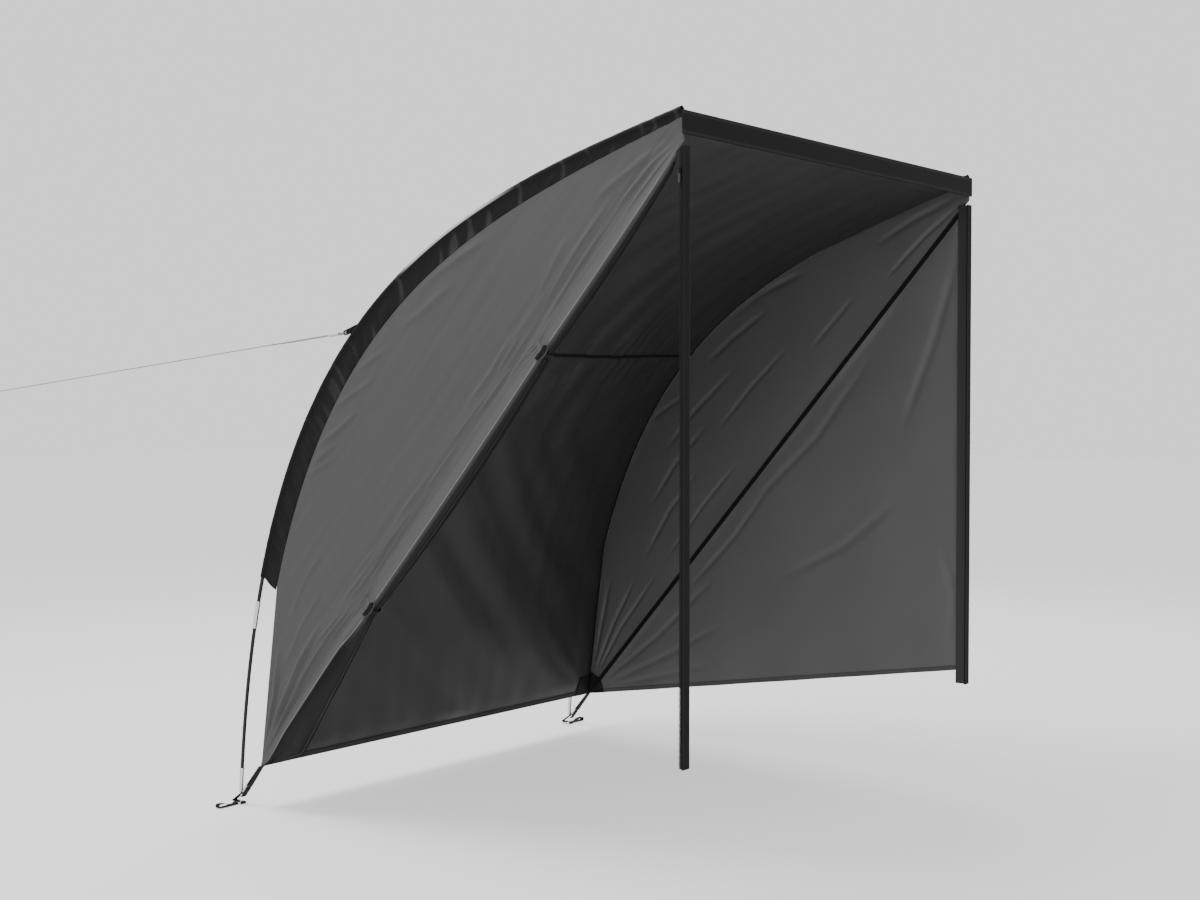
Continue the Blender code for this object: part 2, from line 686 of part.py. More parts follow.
def wall_edges():
    half = WIDTH / 2.0 + HEADER_OVERHANG
    band = box((-HEADER_THICK, -half, HEADER_UP - HEADER_TALL / 2.0),
               (0.0, half, HEADER_UP + HEADER_TALL / 2.0))
    place("header_band", band, "webbing")
    strip_top = diagonal_height(BEAD_FACE) - 4.0 * GAP
    web = STRIP_THICK + ZIP_WEB_DEEP
    for side, word in SIDES:
        thin = ZIP_WEB_THICK / 2.0
        bead = ZIP_BEAD / 2.0
        inside = STRIP_WIDE - STRIP_OUTSIDE
        outline = [
            (0.0, -STRIP_OUTSIDE), (0.0, inside), (-STRIP_THICK, inside), (-STRIP_THICK, thin),
            (-web, thin), (-web, bead), (BEAD_FACE, bead), (BEAD_FACE, -bead), (-web, -bead),
            (-web, -thin), (-STRIP_THICK, -thin), (-STRIP_THICK, -STRIP_OUTSIDE),
        ]

        def to_world(u, v, height, side=side):
            return (u, side * (WIDTH / 2.0 - v), height)

        bm = extruded(outline, to_world, STRIP_FOOT_UP, strip_top)
        place(f"{word}_wall_strip", bm, "webbing")


def zip_parts():
    """A slider that clasps the strip's bead, with a bail, and a pull whose cross bar sits under it."""
    bead = ZIP_BEAD / 2.0 + GAP
    slot = ZIP_WEB_THICK / 2.0 + GAP
    face = bead + SLIDER_WALL
    cavity = -(STRIP_THICK + ZIP_WEB_DEEP) + GAP
    back = cavity + SLIDER_LIP
    middle_x = (SLIDER_FRONT + back) / 2.0
    bail_out = face + BAIL_ROOM + BAIL_THICK
    half = BAIL_WIDE / 2.0
    for side, word in SIDES:
        low = ZIP_NEAR_UP if side == NEAR else ZIP_FAR_UP

        def level(u, v, height, side=side):
            return (u, side * (WIDTH / 2.0 + v), height)

        def upright(u, v, x, side=side):
            return (x, side * (WIDTH / 2.0 + u), v)

        def facing(u, v, out, side=side):
            return (u, side * (WIDTH / 2.0 + out), v)

        outline = [
            (back, slot), (back, face), (SLIDER_FRONT, face), (SLIDER_FRONT, -face), (back, -face),
            (back, -slot), (cavity, -slot), (cavity, -bead), (BEAD_FACE - GAP, -bead),
            (BEAD_FACE - GAP, bead), (cavity, bead), (cavity, slot),
        ]
        origin = (middle_x, side * WIDTH / 2.0, low)
        body = extruded(outline, level, low, low + SLIDER_TALL)
        slider = place(f"{word}_zip_slider", body, "black_plastic", origin=origin)
        foot = low + BAIL_IN
        head = low + SLIDER_TALL - BAIL_IN
        root = face - GAP
        bail = [
            (root, foot), (bail_out, foot), (bail_out, head), (root, head),
            (root, head - BAIL_THICK), (face + BAIL_ROOM, head - BAIL_THICK),
            (face + BAIL_ROOM, foot + BAIL_THICK), (root, foot + BAIL_THICK),
        ]
        shape = extruded(bail, upright, middle_x - half, middle_x + half)
        combine(slider, place(f"{word}_bail_guide", shape, "black_plastic", origin=origin), "UNION")

        bar_out = face + BAIL_ROOM / 2.0
        bar_up = head - BAIL_THICK - PULL_BAR / 2.0 - 2.0 * GAP
        wide = PULL_WIDE / 2.0
        top = bar_up + PULL_BAR / 2.0
        plate = [
            (middle_x - wide, top), (middle_x + wide, top),
            (middle_x + wide * 0.8, top - PULL_TALL), (middle_x - wide * 0.8, top - PULL_TALL),
        ]
        hinge = (middle_x, side * (WIDTH / 2.0 + bar_out), bar_up)
        shape = extruded(plate, facing, bar_out - PULL_BAR / 2.0, bar_out + PULL_BAR / 2.0)
        pull = place(f"{word}_zip_pull", shape, "steel", origin=hinge)
        clear = half + 2.0 * GAP
        window = [
            (middle_x - clear, bar_up - PULL_BAR / 2.0), (middle_x + clear, bar_up - PULL_BAR / 2.0),
            (middle_x + clear, foot - 2.0 * GAP), (middle_x - clear, foot - 2.0 * GAP),
        ]
        shape = extruded(window, facing, bar_out - PULL_BAR, bar_out + PULL_BAR)
        combine(pull, place(f"{word}_pull_guide", shape, "steel", origin=hinge), "DIFFERENCE")


# Feet: outlines are drawn beside each foot, u towards the wall and v up

BUCKLE_FOOT = Vector((BUCKLE_IN, BUCKLE_UP))
CLOTH_CORNER = Vector((CORNER_IN, CORNER_UP))
RISE = (CLOTH_CORNER - BUCKLE_FOOT).normalized()
ACROSS = Vector((-RISE.y, RISE.x))
ACROSS_DEG = math.degrees(math.atan2(ACROSS.y, ACROSS.x))
BAR_HUG = math.hypot(BUCKLE_BAR, BUCKLE_THICK) / 2.0 + GAP + WEBBING / 2.0
RING_HUG = RING_WIRE + 1.5 * GAP + WEBBING / 2.0
MIDDLE_BAR = BUCKLE_FOOT + RISE * BUCKLE_PITCH
TOP_BAR = BUCKLE_FOOT + RISE * 2.0 * BUCKLE_PITCH


def foot_strap(side, word, to_world):
    """From under the ring it folds back, carries the pin's eyelet and threads the buckle."""
    right_side = (RING_MIDDLE + RING_SIDE / 2.0, RING_UP)
    fold_radius = WEBBING * 0.75
    lower = Vector((-STRAP_FOLD, RING_UP + RING_HUG))
    path = arc(right_side, RING_HUG, -120.0, 90.0, 8)
    path += arc(lower + Vector((0.0, fold_radius)), fold_radius, -90.0, -250.0, 4)
    path += [BUCKLE_FOOT + ACROSS * BAR_HUG - RISE * BUCKLE_BAR]
    path += arc(MIDDLE_BAR, BAR_HUG, ACROSS_DEG, ACROSS_DEG - 180.0, 6)
    path += [MIDDLE_BAR - ACROSS * BAR_HUG - RISE * STRAP_TAIL]
    half = STRAP_WIDE / 2.0
    strap = place(f"{word}_foot_strap", extruded(ribbon(path, WEBBING), to_world, -half, half), "webbing")
    pin = along(POLE_START - END_FERRULE_LIP - PIN_LENGTH / 2.0)[0]
    cutter = bmesh.new()
    spot = Matrix.Translation((pin.x, side * WIDTH / 2.0, pin.y))
    radius = PIN_RADIUS + EYELET_ROOM
    bmesh.ops.create_cone(cutter, cap_ends=True, segments=16, radius1=radius, radius2=radius,
                          depth=PIN_LENGTH, matrix=spot)
    combine(strap, place(f"{word}_eyelet_guide", cutter, "steel"), "DIFFERENCE")


def corner_strap(word, to_world):
    """A doubled strap from the cloth's corner, round the buckle's top bar."""
    apart = WEBBING / 2.0 + GAP
    seat = CLOTH_CORNER - RISE * 2.0 * GAP
    lead = TOP_BAR + RISE * STRAP_LEAD
    path = [seat + ACROSS * apart, lead + ACROSS * BAR_HUG]
    path += arc(TOP_BAR, BAR_HUG, ACROSS_DEG, ACROSS_DEG + 180.0, 6)
    path += [lead - ACROSS * BAR_HUG, seat - ACROSS * apart]
    half = STRAP_WIDE / 2.0
    place(f"{word}_corner_strap", extruded(ribbon(path, WEBBING), to_world, -half, half), "webbing")


def strap_buckle(word, to_world):
    """A ladder of three bars between two rails."""
    half = STRAP_WIDE / 2.0 + 2.0 * GAP
    outer = half + BUCKLE_RAIL

    def plate(low, high, wide, thick):
        rungs = [(low, -thick / 2.0), (high, -thick / 2.0), (high, thick / 2.0), (low, thick / 2.0)]

        def on_rise(u, v, width):
            flat = BUCKLE_FOOT + RISE * u + ACROSS * v
            return to_world(flat.x, flat.y, width)

        return extruded(rungs, on_rise, -wide, wide)

    edge = BUCKLE_BAR / 2.0
    body = plate(-edge, 2.0 * BUCKLE_PITCH + edge, outer, BUCKLE_THICK)
    buckle = place(f"{word}_strap_buckle", body, "grey_plastic")
    for number in (0, 1):
        low = BUCKLE_PITCH * number + edge
        window = plate(low, low + BUCKLE_PITCH - BUCKLE_BAR, half, 2.0 * BUCKLE_THICK)
        combine(buckle, place(f"{word}_rung_guide_{number}", window, "steel"), "DIFFERENCE")


def foot_ring(word, to_world):
    """A square ring of round wire, lying on the ground."""
    corner = RING_SIDE / 2.0 - RING_BEND
    path = []
    for number, (sign_u, sign_w) in enumerate(((1, 1), (-1, 1), (-1, -1), (1, -1))):
        bend = arc((sign_u * corner, sign_w * corner), RING_BEND, 90.0 * number, 90.0 * number + 90.0, 3)
        path += [(point, 90.0 * number + 30.0 * i) for i, point in enumerate(bend)]
    bm = bmesh.new()
    rings = []
    for point, degrees in path:
        out = Vector((math.cos(math.radians(degrees)), math.sin(math.radians(degrees))))
        ring = []
        for i in range(8):
            turn = 2.0 * math.pi * i / 8
            flat = point + out * (RING_WIRE * math.cos(turn))
            up = RING_UP + RING_WIRE * math.sin(turn)
            ring.append(bm.verts.new(to_world(RING_MIDDLE + flat.x, up, flat.y)))
        rings.append(ring)
    for first, second in zip(rings, rings[1:] + rings[:1]):
        bridge(bm, first, second)
    place(f"{word}_foot_ring", bm, "steel")


def peg_loop(side, word):
    """A webbing loop through the ring's outer side, lying on the ground with its eye open."""
    flat_up = RING_UP - RING_HUG
    sewn_up = flat_up + WEBBING + GAP
    bend = (PEG_LOOP_HIGH - WEBBING) / 2.0
    turn_at = PEG_LOOP_LONG - bend
    path = [Vector((PEG_LOOP_SEAM - GAP, sewn_up)), Vector((PEG_LOOP_SEAM / 2.0, sewn_up))]
    path += arc((0.0, RING_UP), RING_HUG, 50.0, 270.0, 8)
    path += [Vector((PEG_LOOP_SEAM, flat_up))]
    path += arc((turn_at, flat_up + bend), bend, -90.0, 90.0, 6)
    path += [Vector((turn_at - PEG_EYE_FLAT, flat_up + 2.0 * bend - WEBBING / 2.0))]
    path += [Vector((PEG_LOOP_SEAM + PEG_EYE_NECK, flat_up + bend))]
    path += [Vector((PEG_LOOP_SEAM + WEBBING, sewn_up)), Vector((PEG_LOOP_SEAM + GAP, sewn_up))]
    ring_side = side * (WIDTH / 2.0 + RING_SIDE / 2.0)
    middle = -DEPTH + RING_MIDDLE

    def to_world(u, v, width):
        return (middle + width, ring_side + side * u, v)

    half = PEG_LOOP_WIDE / 2.0
    bm = extruded(ribbon(path, WEBBING), to_world, -half, half)
    place(f"{word}_peg_loop", bm, "webbing", origin=(middle, ring_side, RING_UP))


def feet():
    """The pole's pin stands in the foot strap, whose buckle draws the cloth's corner down."""
    for side, word in SIDES:
        def to_world(u, v, width, side=side):
            return (-DEPTH + u, side * WIDTH / 2.0 + width, v)

        foot_strap(side, word, to_world)
        corner_strap(word, to_world)
        strap_buckle(word, to_world)
        foot_ring(word, to_world)
        peg_loop(side, word)


# Guy line

def guy_parts():
    """A webbing loop on the near arch, a cord through its eye and a slider on both strands."""
    run = run_where(GUY_UP, lambda distance: along(distance)[0].y)
    point, inward = along(run)
    tangent = Vector((-inward.y, inward.x))
    away = Vector((-math.cos(GUY_FALL), -math.sin(GUY_FALL)))
    sleeve = SLEEVE_RADIUS * math.cos(math.pi / ROUND_SIDES)
    eye = point + away * (sleeve + GUY_EYE)
    level = math.degrees(math.atan2(away.y, away.x)) % 360.0
    foot_out = sleeve + 1.5 * GAP + WEBBING * 0.45
    path = [point - tangent * GUY_LOOP_BASE / 2.0 - inward * foot_out]
    path += arc(eye, GUY_EYE_RADIUS, level + 95.0, level - 95.0, 8)
    path += [point + tangent * GUY_LOOP_BASE / 2.0 - inward * foot_out]
    middle = NEAR * WIDTH / 2.0
    half = GUY_LOOP_WIDE / 2.0
    place("guy_loop", extruded(ribbon(path, WEBBING), in_side_plane, middle - half, middle + half), "webbing")

    strand = half + GUY_RADIUS + 1.5 * GAP
    hook = GUY_EYE_RADIUS - WEBBING / 2.0 - strand

    def on_line(distance, aside):
        flat = eye + away * (hook + distance)
        return Vector((flat.x, middle + aside, flat.y))

    straight = GUY_SLIDER_IN + GUY_SLIDER_LONG + GUY_TRAVEL + GUY_STRAIGHT
    beside = -strand + 2.0 * GUY_RADIUS + 3.0 * GAP
    single = GUY_TAIL + GUY_STRAIGHT
    tail_steps, bend_steps, main_steps = 14, 9, 45
    route = []
    for i in range(tail_steps + 1):
        distance = GUY_TAIL + (strand - GUY_TAIL) * i / tail_steps
        drawn_in = ease((distance - straight) / (GUY_TAIL - straight))
        route.append(on_line(distance, strand + (beside - strand) * drawn_in))
    for i in range(1, bend_steps):
        turn = math.pi * i / bend_steps
        route.append(on_line(strand - strand * math.sin(turn), strand * math.cos(turn)))
    for i in range(main_steps + 1):
        distance = strand + (GUY_LENGTH - strand) * i / main_steps
        drawn_in = ease((distance - single) / (GUY_LENGTH - single))
        route.append(on_line(distance, -strand * (1.0 - drawn_in)))
    curve = bpy.data.curves.new("guy_line", "CURVE")
    curve.dimensions = "3D"
    curve.bevel_depth = GUY_RADIUS
    curve.bevel_resolution = 2
    curve.use_fill_caps = True
    spline = curve.splines.new("POLY")
    spline.points.add(len(route) - 1)
    for spot, place_on in zip(spline.points, route):
        spot.co = (*place_on, 1.0)
    curve.materials.append(material("cord"))
    cord = bpy.data.objects.new("guy_line", curve)
    cord.parent = bpy.data.objects["tent_frame"]
    bpy.context.scene.collection.objects.link(cord)

    def beside_line(u, v, distance):
        flat = eye + away * (hook + distance) + Vector((-away.y, away.x)) * v
        return (flat.x, middle + u, flat.y)

    wide = GUY_SLIDER_WIDE / 2.0
    thick = GUY_SLIDER_THICK / 2.0
    chamfer = GUY_SLIDER_CHAMFER
    outline = [
        (-wide + chamfer, -thick), (wide - chamfer, -thick), (wide, -thick + chamfer),
        (wide, thick - chamfer), (wide - chamfer, thick), (-wide + chamfer, thick),
        (-wide, thick - chamfer), (-wide, -thick + chamfer),
    ]
    start, stop = GUY_SLIDER_IN, GUY_SLIDER_IN + GUY_SLIDER_LONG
    origin = beside_line(0.0, 0.0, start)
    slider = place("guy_slider", extruded(outline, beside_line, start, stop), "grey_plastic", origin=origin)
    bore = (GUY_RADIUS + 1.2 * GAP) / math.cos(math.pi / 8.0)
    for number, sign in enumerate((-1, 1)):
        hole = [(sign * strand + point.x, point.y) for point in arc((0.0, 0.0), bore, 0.0, 315.0, 7)]
        shape = extruded(hole, beside_line, start - chamfer, stop + chamfer)
        combine(slider, place(f"guy_bore_guide_{number}", shape, "steel", origin=origin), "DIFFERENCE")


def build():
    for old in list(bpy.data.objects):
        bpy.data.objects.remove(old)
    frame = bpy.data.objects.new("tent_frame", None)
    frame.location = (0.0, 0.0, -HEADER_UP)
    bpy.context.scene.collection.objects.link(frame)
    pole_pieces()
    for side, word in SIDES:
        pole_sleeve(side, word)
        side_panel(side, word)
    shell_pieces()
    far_door()
    door_roll()
    roll_ties()
    wall_edges()
    zip_parts()
    feet()
    guy_parts()


build()
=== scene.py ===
"""A lean-to bicycle tent: its cloth, poles, straps, zips and guy line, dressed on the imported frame."""

from math import atan2, cos, degrees, exp, hypot, pi, radians, sin, sqrt

import bmesh
import bpy
from mathutils import Matrix, Vector, noise


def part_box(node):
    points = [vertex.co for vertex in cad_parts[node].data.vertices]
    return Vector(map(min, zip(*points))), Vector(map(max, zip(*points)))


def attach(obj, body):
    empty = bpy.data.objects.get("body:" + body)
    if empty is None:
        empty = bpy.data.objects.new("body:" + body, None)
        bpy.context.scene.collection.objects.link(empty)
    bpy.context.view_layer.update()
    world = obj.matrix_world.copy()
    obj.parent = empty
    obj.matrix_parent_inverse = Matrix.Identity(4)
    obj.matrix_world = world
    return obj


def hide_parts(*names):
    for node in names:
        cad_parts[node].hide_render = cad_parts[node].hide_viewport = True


bl_info = {
    "name": "Bicycle Tent",
    "version": (1, 0, 0),
    "blender": (4, 5, 0),
    "location": "3D View > Sidebar > Bicycle Tent",
    "description": "Dresses the packed frame of a lean-to bicycle tent",
    "category": "Object",
}

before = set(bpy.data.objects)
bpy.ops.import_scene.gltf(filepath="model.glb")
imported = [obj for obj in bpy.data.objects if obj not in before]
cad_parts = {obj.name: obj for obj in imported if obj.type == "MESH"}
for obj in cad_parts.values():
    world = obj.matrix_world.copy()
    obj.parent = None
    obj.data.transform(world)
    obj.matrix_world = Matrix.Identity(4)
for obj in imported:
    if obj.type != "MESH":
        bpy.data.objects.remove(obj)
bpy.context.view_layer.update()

# Outlines of the tent, in X and the height above the ground

GROUND = -1.942          # the ground, below the header band that carries the tent
WIDTH = 1.65             # from one pole to the other
HALF = WIDTH / 2.0
CLOTH_HALF = 0.8232      # from the middle to the outer cloth's edges beside the poles
DEPTH = 1.66             # from the wall to the poles' feet
HEIGHT = 1.978           # from the ground to the poles' upper ends
ARCH_LENGTH = 2.855724
FOOT_LEAN = 3.0          # degrees from upright where an arch leaves the ground
TOP_SLOPE = 14.1         # degrees from level where it meets the wall
FOOT_PULL = 1.59         # how far each end's direction pulls on the arch's curve
TOP_PULL = 0.79
SLEEVE_START = 0.720     # the sleeve's lower end, along the arch
SLEEVE_FOOT = 0.066      # from the pole to the panel's seam at the sleeve's lower end
SLEEVE_BELLY = 0.166     # twice the pull that widens the sleeve between its ends
SLEEVE_TOP = 0.019       # from the pole to the seam at the upper end
CLOTH_END_X = -0.0043    # the cloth's upper edge, just short of the wall
CROSS_SEAM_HEIGHT = 1.420
HEM_AT_WALL = 0.370
GAP = 0.0003             # left between parts that touch
CORNER = Vector((-1.565, 0.129))               # the cloth's outer lower corner
DIAGONAL_TOP = Vector((CLOTH_END_X, 1.900))    # the door seam's upper end
POLE_RADIUS = 0.0055
FERRULE_RADIUS = 0.0068
FERRULE_BORE = 0.005815
RING_LEVEL = 0.0047      # the foot rings' wire, above the ground
RING_WIRE = 0.0019       # and its radius
PATCH_LENGTH = 0.085     # the corner patches' sides
HEM_WIDTH = 0.018
SEAM_TAPE = 0.012        # the width of the tape beside each arch
SIDES = ((-1, "near"), (1, "far"))
X_AXIS, Y_AXIS, Z_AXIS = (Vector(axis) for axis in ((1.0, 0.0, 0.0), (0.0, 1.0, 0.0), (0.0, 0.0, 1.0)))


def ease(share):
    """A smooth step from 0 to 1."""
    share = min(max(share, 0.0), 1.0)
    return share * share * (3.0 - 2.0 * share)


def path_runs(path):
    """The distance along a path at each of its points."""
    runs = [0.0]
    for before, after in zip(path, path[1:]):
        runs.append(runs[-1] + (after - before).length)
    return runs


def arch_curve(steps=1200):
    """The pole's centre line and the distance along it."""
    foot, top = Vector((-DEPTH, 0.0)), Vector((0.0, HEIGHT))
    lean, slope = radians(FOOT_LEAN), radians(TOP_SLOPE)
    foot_handle = foot + FOOT_PULL * Vector((sin(lean), cos(lean)))
    top_handle = top - TOP_PULL * Vector((cos(slope), sin(slope)))
    points = []
    for step in range(steps + 1):
        share = step / steps
        rest = 1.0 - share
        points.append(foot * rest ** 3 + foot_handle * (3.0 * rest * rest * share)
                      + top_handle * (3.0 * rest * share * share) + top * share ** 3)
    runs = path_runs(points)
    return points, [run * ARCH_LENGTH / runs[-1] for run in runs]


CURVE, RUNS = arch_curve()


def along(run):
    """Point and inward normal of the arch at a distance from the foot."""
    run = min(max(run, 0.0), ARCH_LENGTH)
    low, high = 0, len(RUNS) - 1
    while high - low > 1:
        middle = (low + high) // 2
        low, high = (middle, high) if RUNS[middle] <= run else (low, middle)
    share = (run - RUNS[low]) / (RUNS[high] - RUNS[low])
    first, last = max(low - 4, 0), min(high + 4, len(CURVE) - 1)
    tangent = (CURVE[last] - CURVE[first]).normalized()
    return CURVE[low].lerp(CURVE[high], share), Vector((tangent.y, -tangent.x))


def run_where(value, measure, low=0.0, high=ARCH_LENGTH):
    """The distance at which a rising measure reaches a value."""
    for _ in range(30):
        middle = (low + high) / 2.0
        low, high = (middle, high) if measure(middle) < value else (low, middle)
    return low


def seam_offset(run):
    """From the pole to the panel's seam, square to the arch."""
    share = (run - SLEEVE_START) / (ARCH_LENGTH - SLEEVE_START)
    rest = 1.0 - share
    return SLEEVE_FOOT * rest * rest + SLEEVE_BELLY * share * rest + SLEEVE_TOP * share * share


def seam_point(run):
    point, inward = along(run)
    return point + inward * seam_offset(run)


def square_to(line):
    return Vector((line.y, -line.x)).normalized()


CLOTH_END = run_where(CLOTH_END_X, lambda run: seam_point(run).x)
CROSS_SEAM = run_where(CROSS_SEAM_HEIGHT, lambda run: seam_point(run).y)
LOW_SEAM = seam_point(SLEEVE_START)
LOW_NORMAL = square_to(LOW_SEAM - CORNER)
CORNER_RUN = SLEEVE_START - (LOW_SEAM - CORNER).length
DIAGONAL = (DIAGONAL_TOP - CORNER).normalized()
DOORWARD = square_to(DIAGONAL)
ALONG_SEAM = Vector((DIAGONAL.x, 0.0, DIAGONAL.y))
ACROSS_SEAM = Vector((DOORWARD.x, 0.0, DOORWARD.y))
DOOR_SEAM = (DIAGONAL_TOP - CORNER).length
TIES = (0.708, 1.677)    # the rolled door's two ties, along its seam


def edge(run):
    """Point and inward normal of the cloth's edge beside an arch, from the corner up."""
    normal = LOW_NORMAL.lerp(along(max(run, SLEEVE_START))[1], ease((run - SLEEVE_START + 0.05) / 0.10))
    level = ease(1.0 - (CLOTH_END - run) / 0.06)
    normal = normal.normalized().lerp(Vector((0.0, -1.0)), level).normalized()
    if run < SLEEVE_START:
        return CORNER.lerp(LOW_SEAM, (run - CORNER_RUN) / (SLEEVE_START - CORNER_RUN)), normal
    return seam_point(run), normal


SPAN = (edge(CLOTH_END)[0] - CORNER).dot(DIAGONAL)


def opposite(distance):
    """The arch seam's point across the panel from a place on the door seam."""
    target = distance * SPAN / DOOR_SEAM
    run = run_where(target, lambda r: (edge(r)[0] - CORNER).dot(DIAGONAL), CORNER_RUN, CLOTH_END)
    return edge(run)[0]


def spot(flat, y):
    """A point of an outline, put in the frame."""
    return Vector((flat.x, y, flat.y + GROUND))


def roll_spot(distance, q, out):
    """A point by the near door's seam: along it, q from it towards the door, and out of the panel."""
    return spot(CORNER + DIAGONAL * distance + DOORWARD * q, -(HALF + out))


def hem_height(x):
    """The side hem, from the outer corner up to the wall."""
    return CORNER.y + (HEM_AT_WALL - CORNER.y) * (x - CORNER.x) / (0.0 - CORNER.x)


def whole_turn(across, sides):
    """The angle of a place round a closed section, whose last place is its first."""
    return 2.0 * pi * (round(across * sides) % sides) / sides


def arc(centre, radius, start, stop, steps):
    """Points of an arc, in degrees."""
    turns = [radians(start + (stop - start) * i / steps) for i in range(steps + 1)]
    return [Vector((centre[0] + radius * cos(t), centre[1] + radius * sin(t))) for t in turns]


# Folds in the cloth

def from_stroke(place, stroke):
    """Distance to a stroke, and how far along it the nearest place is."""
    best, where, run = 1e9, 0.0, 0.0
    for first, last in zip(stroke, stroke[1:]):
        reach = last - first
        length = reach.length
        share = min(max((place - first).dot(reach) / (length * length), 0.0), 1.0)
        away = (place - first - reach * share).length
        if away < best:
            best, where = away, run + length * share
        run += length
    return best, where / run


class Creases:
    """Raised folds along strokes: points in millimetres, then width and height in tenths of one."""

    def __init__(self, strokes):
        self.strokes = [([Vector((x / 1000.0, y / 1000.0)) for x, y in points], width / 10000.0,
                         height / 10000.0) for points, width, height in strokes]

    def at(self, place):
        total = 0.0
        for points, width, height in self.strokes:
            reach = 3.0 * width
            if not min(p.x for p in points) - reach < place.x < max(p.x for p in points) + reach:
                continue
            if not min(p.y for p in points) - reach < place.y < max(p.y for p in points) + reach:
                continue
            away, where = from_stroke(place, points)
            ends = ease(where / 0.3) * ease((1.0 - where) / 0.3)
            total += height * ends * exp(-((away / width) ** 2))
        return total


# On the near panel: distance along the door seam, then from it towards the arch
PANEL_CREASES = Creases([
    ([(50, 22), (190, 62), (360, 95), (540, 112)], 75, 58),
    ([(80, 22), (200, 50), (370, 80), (500, 94)], 55, -34),
    ([(50, 14), (200, 38), (360, 56), (560, 62)], 60, 50),
    ([(60, 11), (220, 28), (380, 40)], 50, -30),
    ([(40, 26), (200, 105), (340, 192)], 80, 56),
    ([(60, 32), (190, 86), (300, 142)], 60, -34),
    ([(50, 48), (180, 150), (320, 250)], 100, 34),
    ([(70, 74), (160, 180)], 90, 26),
    ([(300, 128), (440, 158), (620, 172)], 80, 26),
    ([(400, 200), (540, 236), (700, 246)], 90, 20),
    ([(440, 84), (620, 66)], 45, 26),
    ([(470, 64), (640, 52)], 40, 26),
    ([(480, 46), (660, 38)], 35, 24),
    ([(620, 88), (770, 78)], 45, 26),
    ([(640, 70), (780, 60)], 40, 26),
    ([(700, 104), (860, 92)], 50, 20),
    ([(740, 52), (950, 58)], 45, -26),
    ([(800, 70), (1060, 60)], 50, 26),
    ([(940, 88), (1160, 76)], 50, 18),
    ([(1080, 60), (1300, 56)], 45, 24),
    ([(1260, 76), (1480, 66)], 50, 24),
    ([(1360, 56), (1580, 50)], 40, 26),
    ([(860, 474), (980, 430), (1100, 400)], 70, 42),
    ([(830, 446), (970, 400)], 55, 34),
    ([(790, 436), (910, 388)], 55, 30),
    ([(980, 500), (1200, 414)], 60, 36),
    ([(1120, 500), (1300, 430)], 70, 26),
    ([(1400, 490), (1580, 426), (1770, 335)], 130, 48),
    ([(1340, 436), (1600, 355)], 110, 34),
    ([(1520, 470), (1740, 380)], 90, 26),
    ([(1660, 110), (1500, 98), (1360, 106)], 70, 28),
    ([(1650, 84), (1500, 76)], 50, 28),
    ([(1520, 40), (1660, 32)], 35, 26),
    ([(1700, 38), (1900, 50), (2060, 50)], 50, 28),
    ([(1720, 66), (1920, 84), (2100, 84)], 60, 26),
    ([(1740, 100), (1950, 134)], 80, 24),
    ([(2340, 20), (2240, 40), (2080, 56)], 55, 36),
    ([(2340, 8), (2220, 16), (2100, 22)], 45, 30),
    ([(2320, 36), (2200, 80), (2040, 130)], 90, 34),
])
# On the far panel, and on the far door: along its seam, then from it towards the hem
FAR_CREASES = Creases([
    ([(50, 14), (300, 60), (580, 78)], 70, 42),
    ([(50, 20), (280, 92), (500, 140)], 75, 44),
    ([(40, 24), (240, 130), (420, 230)], 90, 46),
    ([(60, 60), (200, 190)], 90, 38),
    ([(550, 150), (780, 190), (1000, 196)], 80, 36),
    ([(620, 80), (900, 96), (1140, 90)], 70, 30),
    ([(720, 262), (920, 286), (1140, 276)], 80, 38),
    ([(900, 350), (1120, 350), (1360, 320)], 80, 38),
    ([(1120, 230), (1340, 226), (1560, 204)], 80, 34),
    ([(1260, 430), (1420, 400), (1600, 350)], 90, 40),
    ([(1400, 480), (1600, 420), (1800, 310)], 120, 44),
    ([(920, 490), (1160, 410)], 80, 36),
    ([(1600, 130), (1860, 120)], 80, 28),
    ([(2340, 16), (2160, 50), (1950, 70)], 80, 36),
    ([(2330, 40), (2160, 120), (2000, 180)], 100, 34),
])
DOOR_CREASES = Creases([
    ([(50, 12), (400, 80), (800, 120)], 100, 30),
    ([(50, 20), (360, 150), (660, 260)], 120, 26),
    ([(80, 44), (300, 190), (520, 330)], 120, 20),
    ([(120, 86), (300, 250)], 100, 16),
    ([(600, 60), (900, 76), (1200, 64)], 90, 32),
    ([(2260, 60), (1950, 200), (1600, 330)], 140, 46),
    ([(2200, 160), (1900, 420), (1660, 600)], 160, 52),
    ([(2100, 330), (1840, 560), (1600, 700)], 140, 40),
    ([(1920, 560), (1620, 740), (1300, 800)], 170, 44),
    ([(1000, 50), (1400, 90), (1800, 60)], 120, 34),
    ([(900, 300), (1200, 420), (1500, 470)], 150, 34),
    ([(1200, 940), (1360, 820), (1460, 660)], 140, 38),
])


def soft_wave(first, second, scale, depth):
    """A slow swell of the cloth."""
    return depth * noise.noise(Vector((first / scale, second / scale, 3.7)))


def seam_pleats(inward, distance):
    """Fine pleats beside the door seam, drawn out along it."""
    fine = noise.noise(Vector((inward / 0.0080, distance / 0.17, 8.2)))
    broad = noise.noise(Vector((inward / 0.0210, distance / 0.32, 1.4)))
    beside = ease((inward - 0.004) / 0.02) * (1.0 - ease((inward - 0.05) / 0.10))
    return (0.0010 * fine + 0.0018 * broad) * beside + 0.0012 * broad * ease(inward / 0.05)


# The rolled near door: sections square to the door seam, q from the seam towards the door

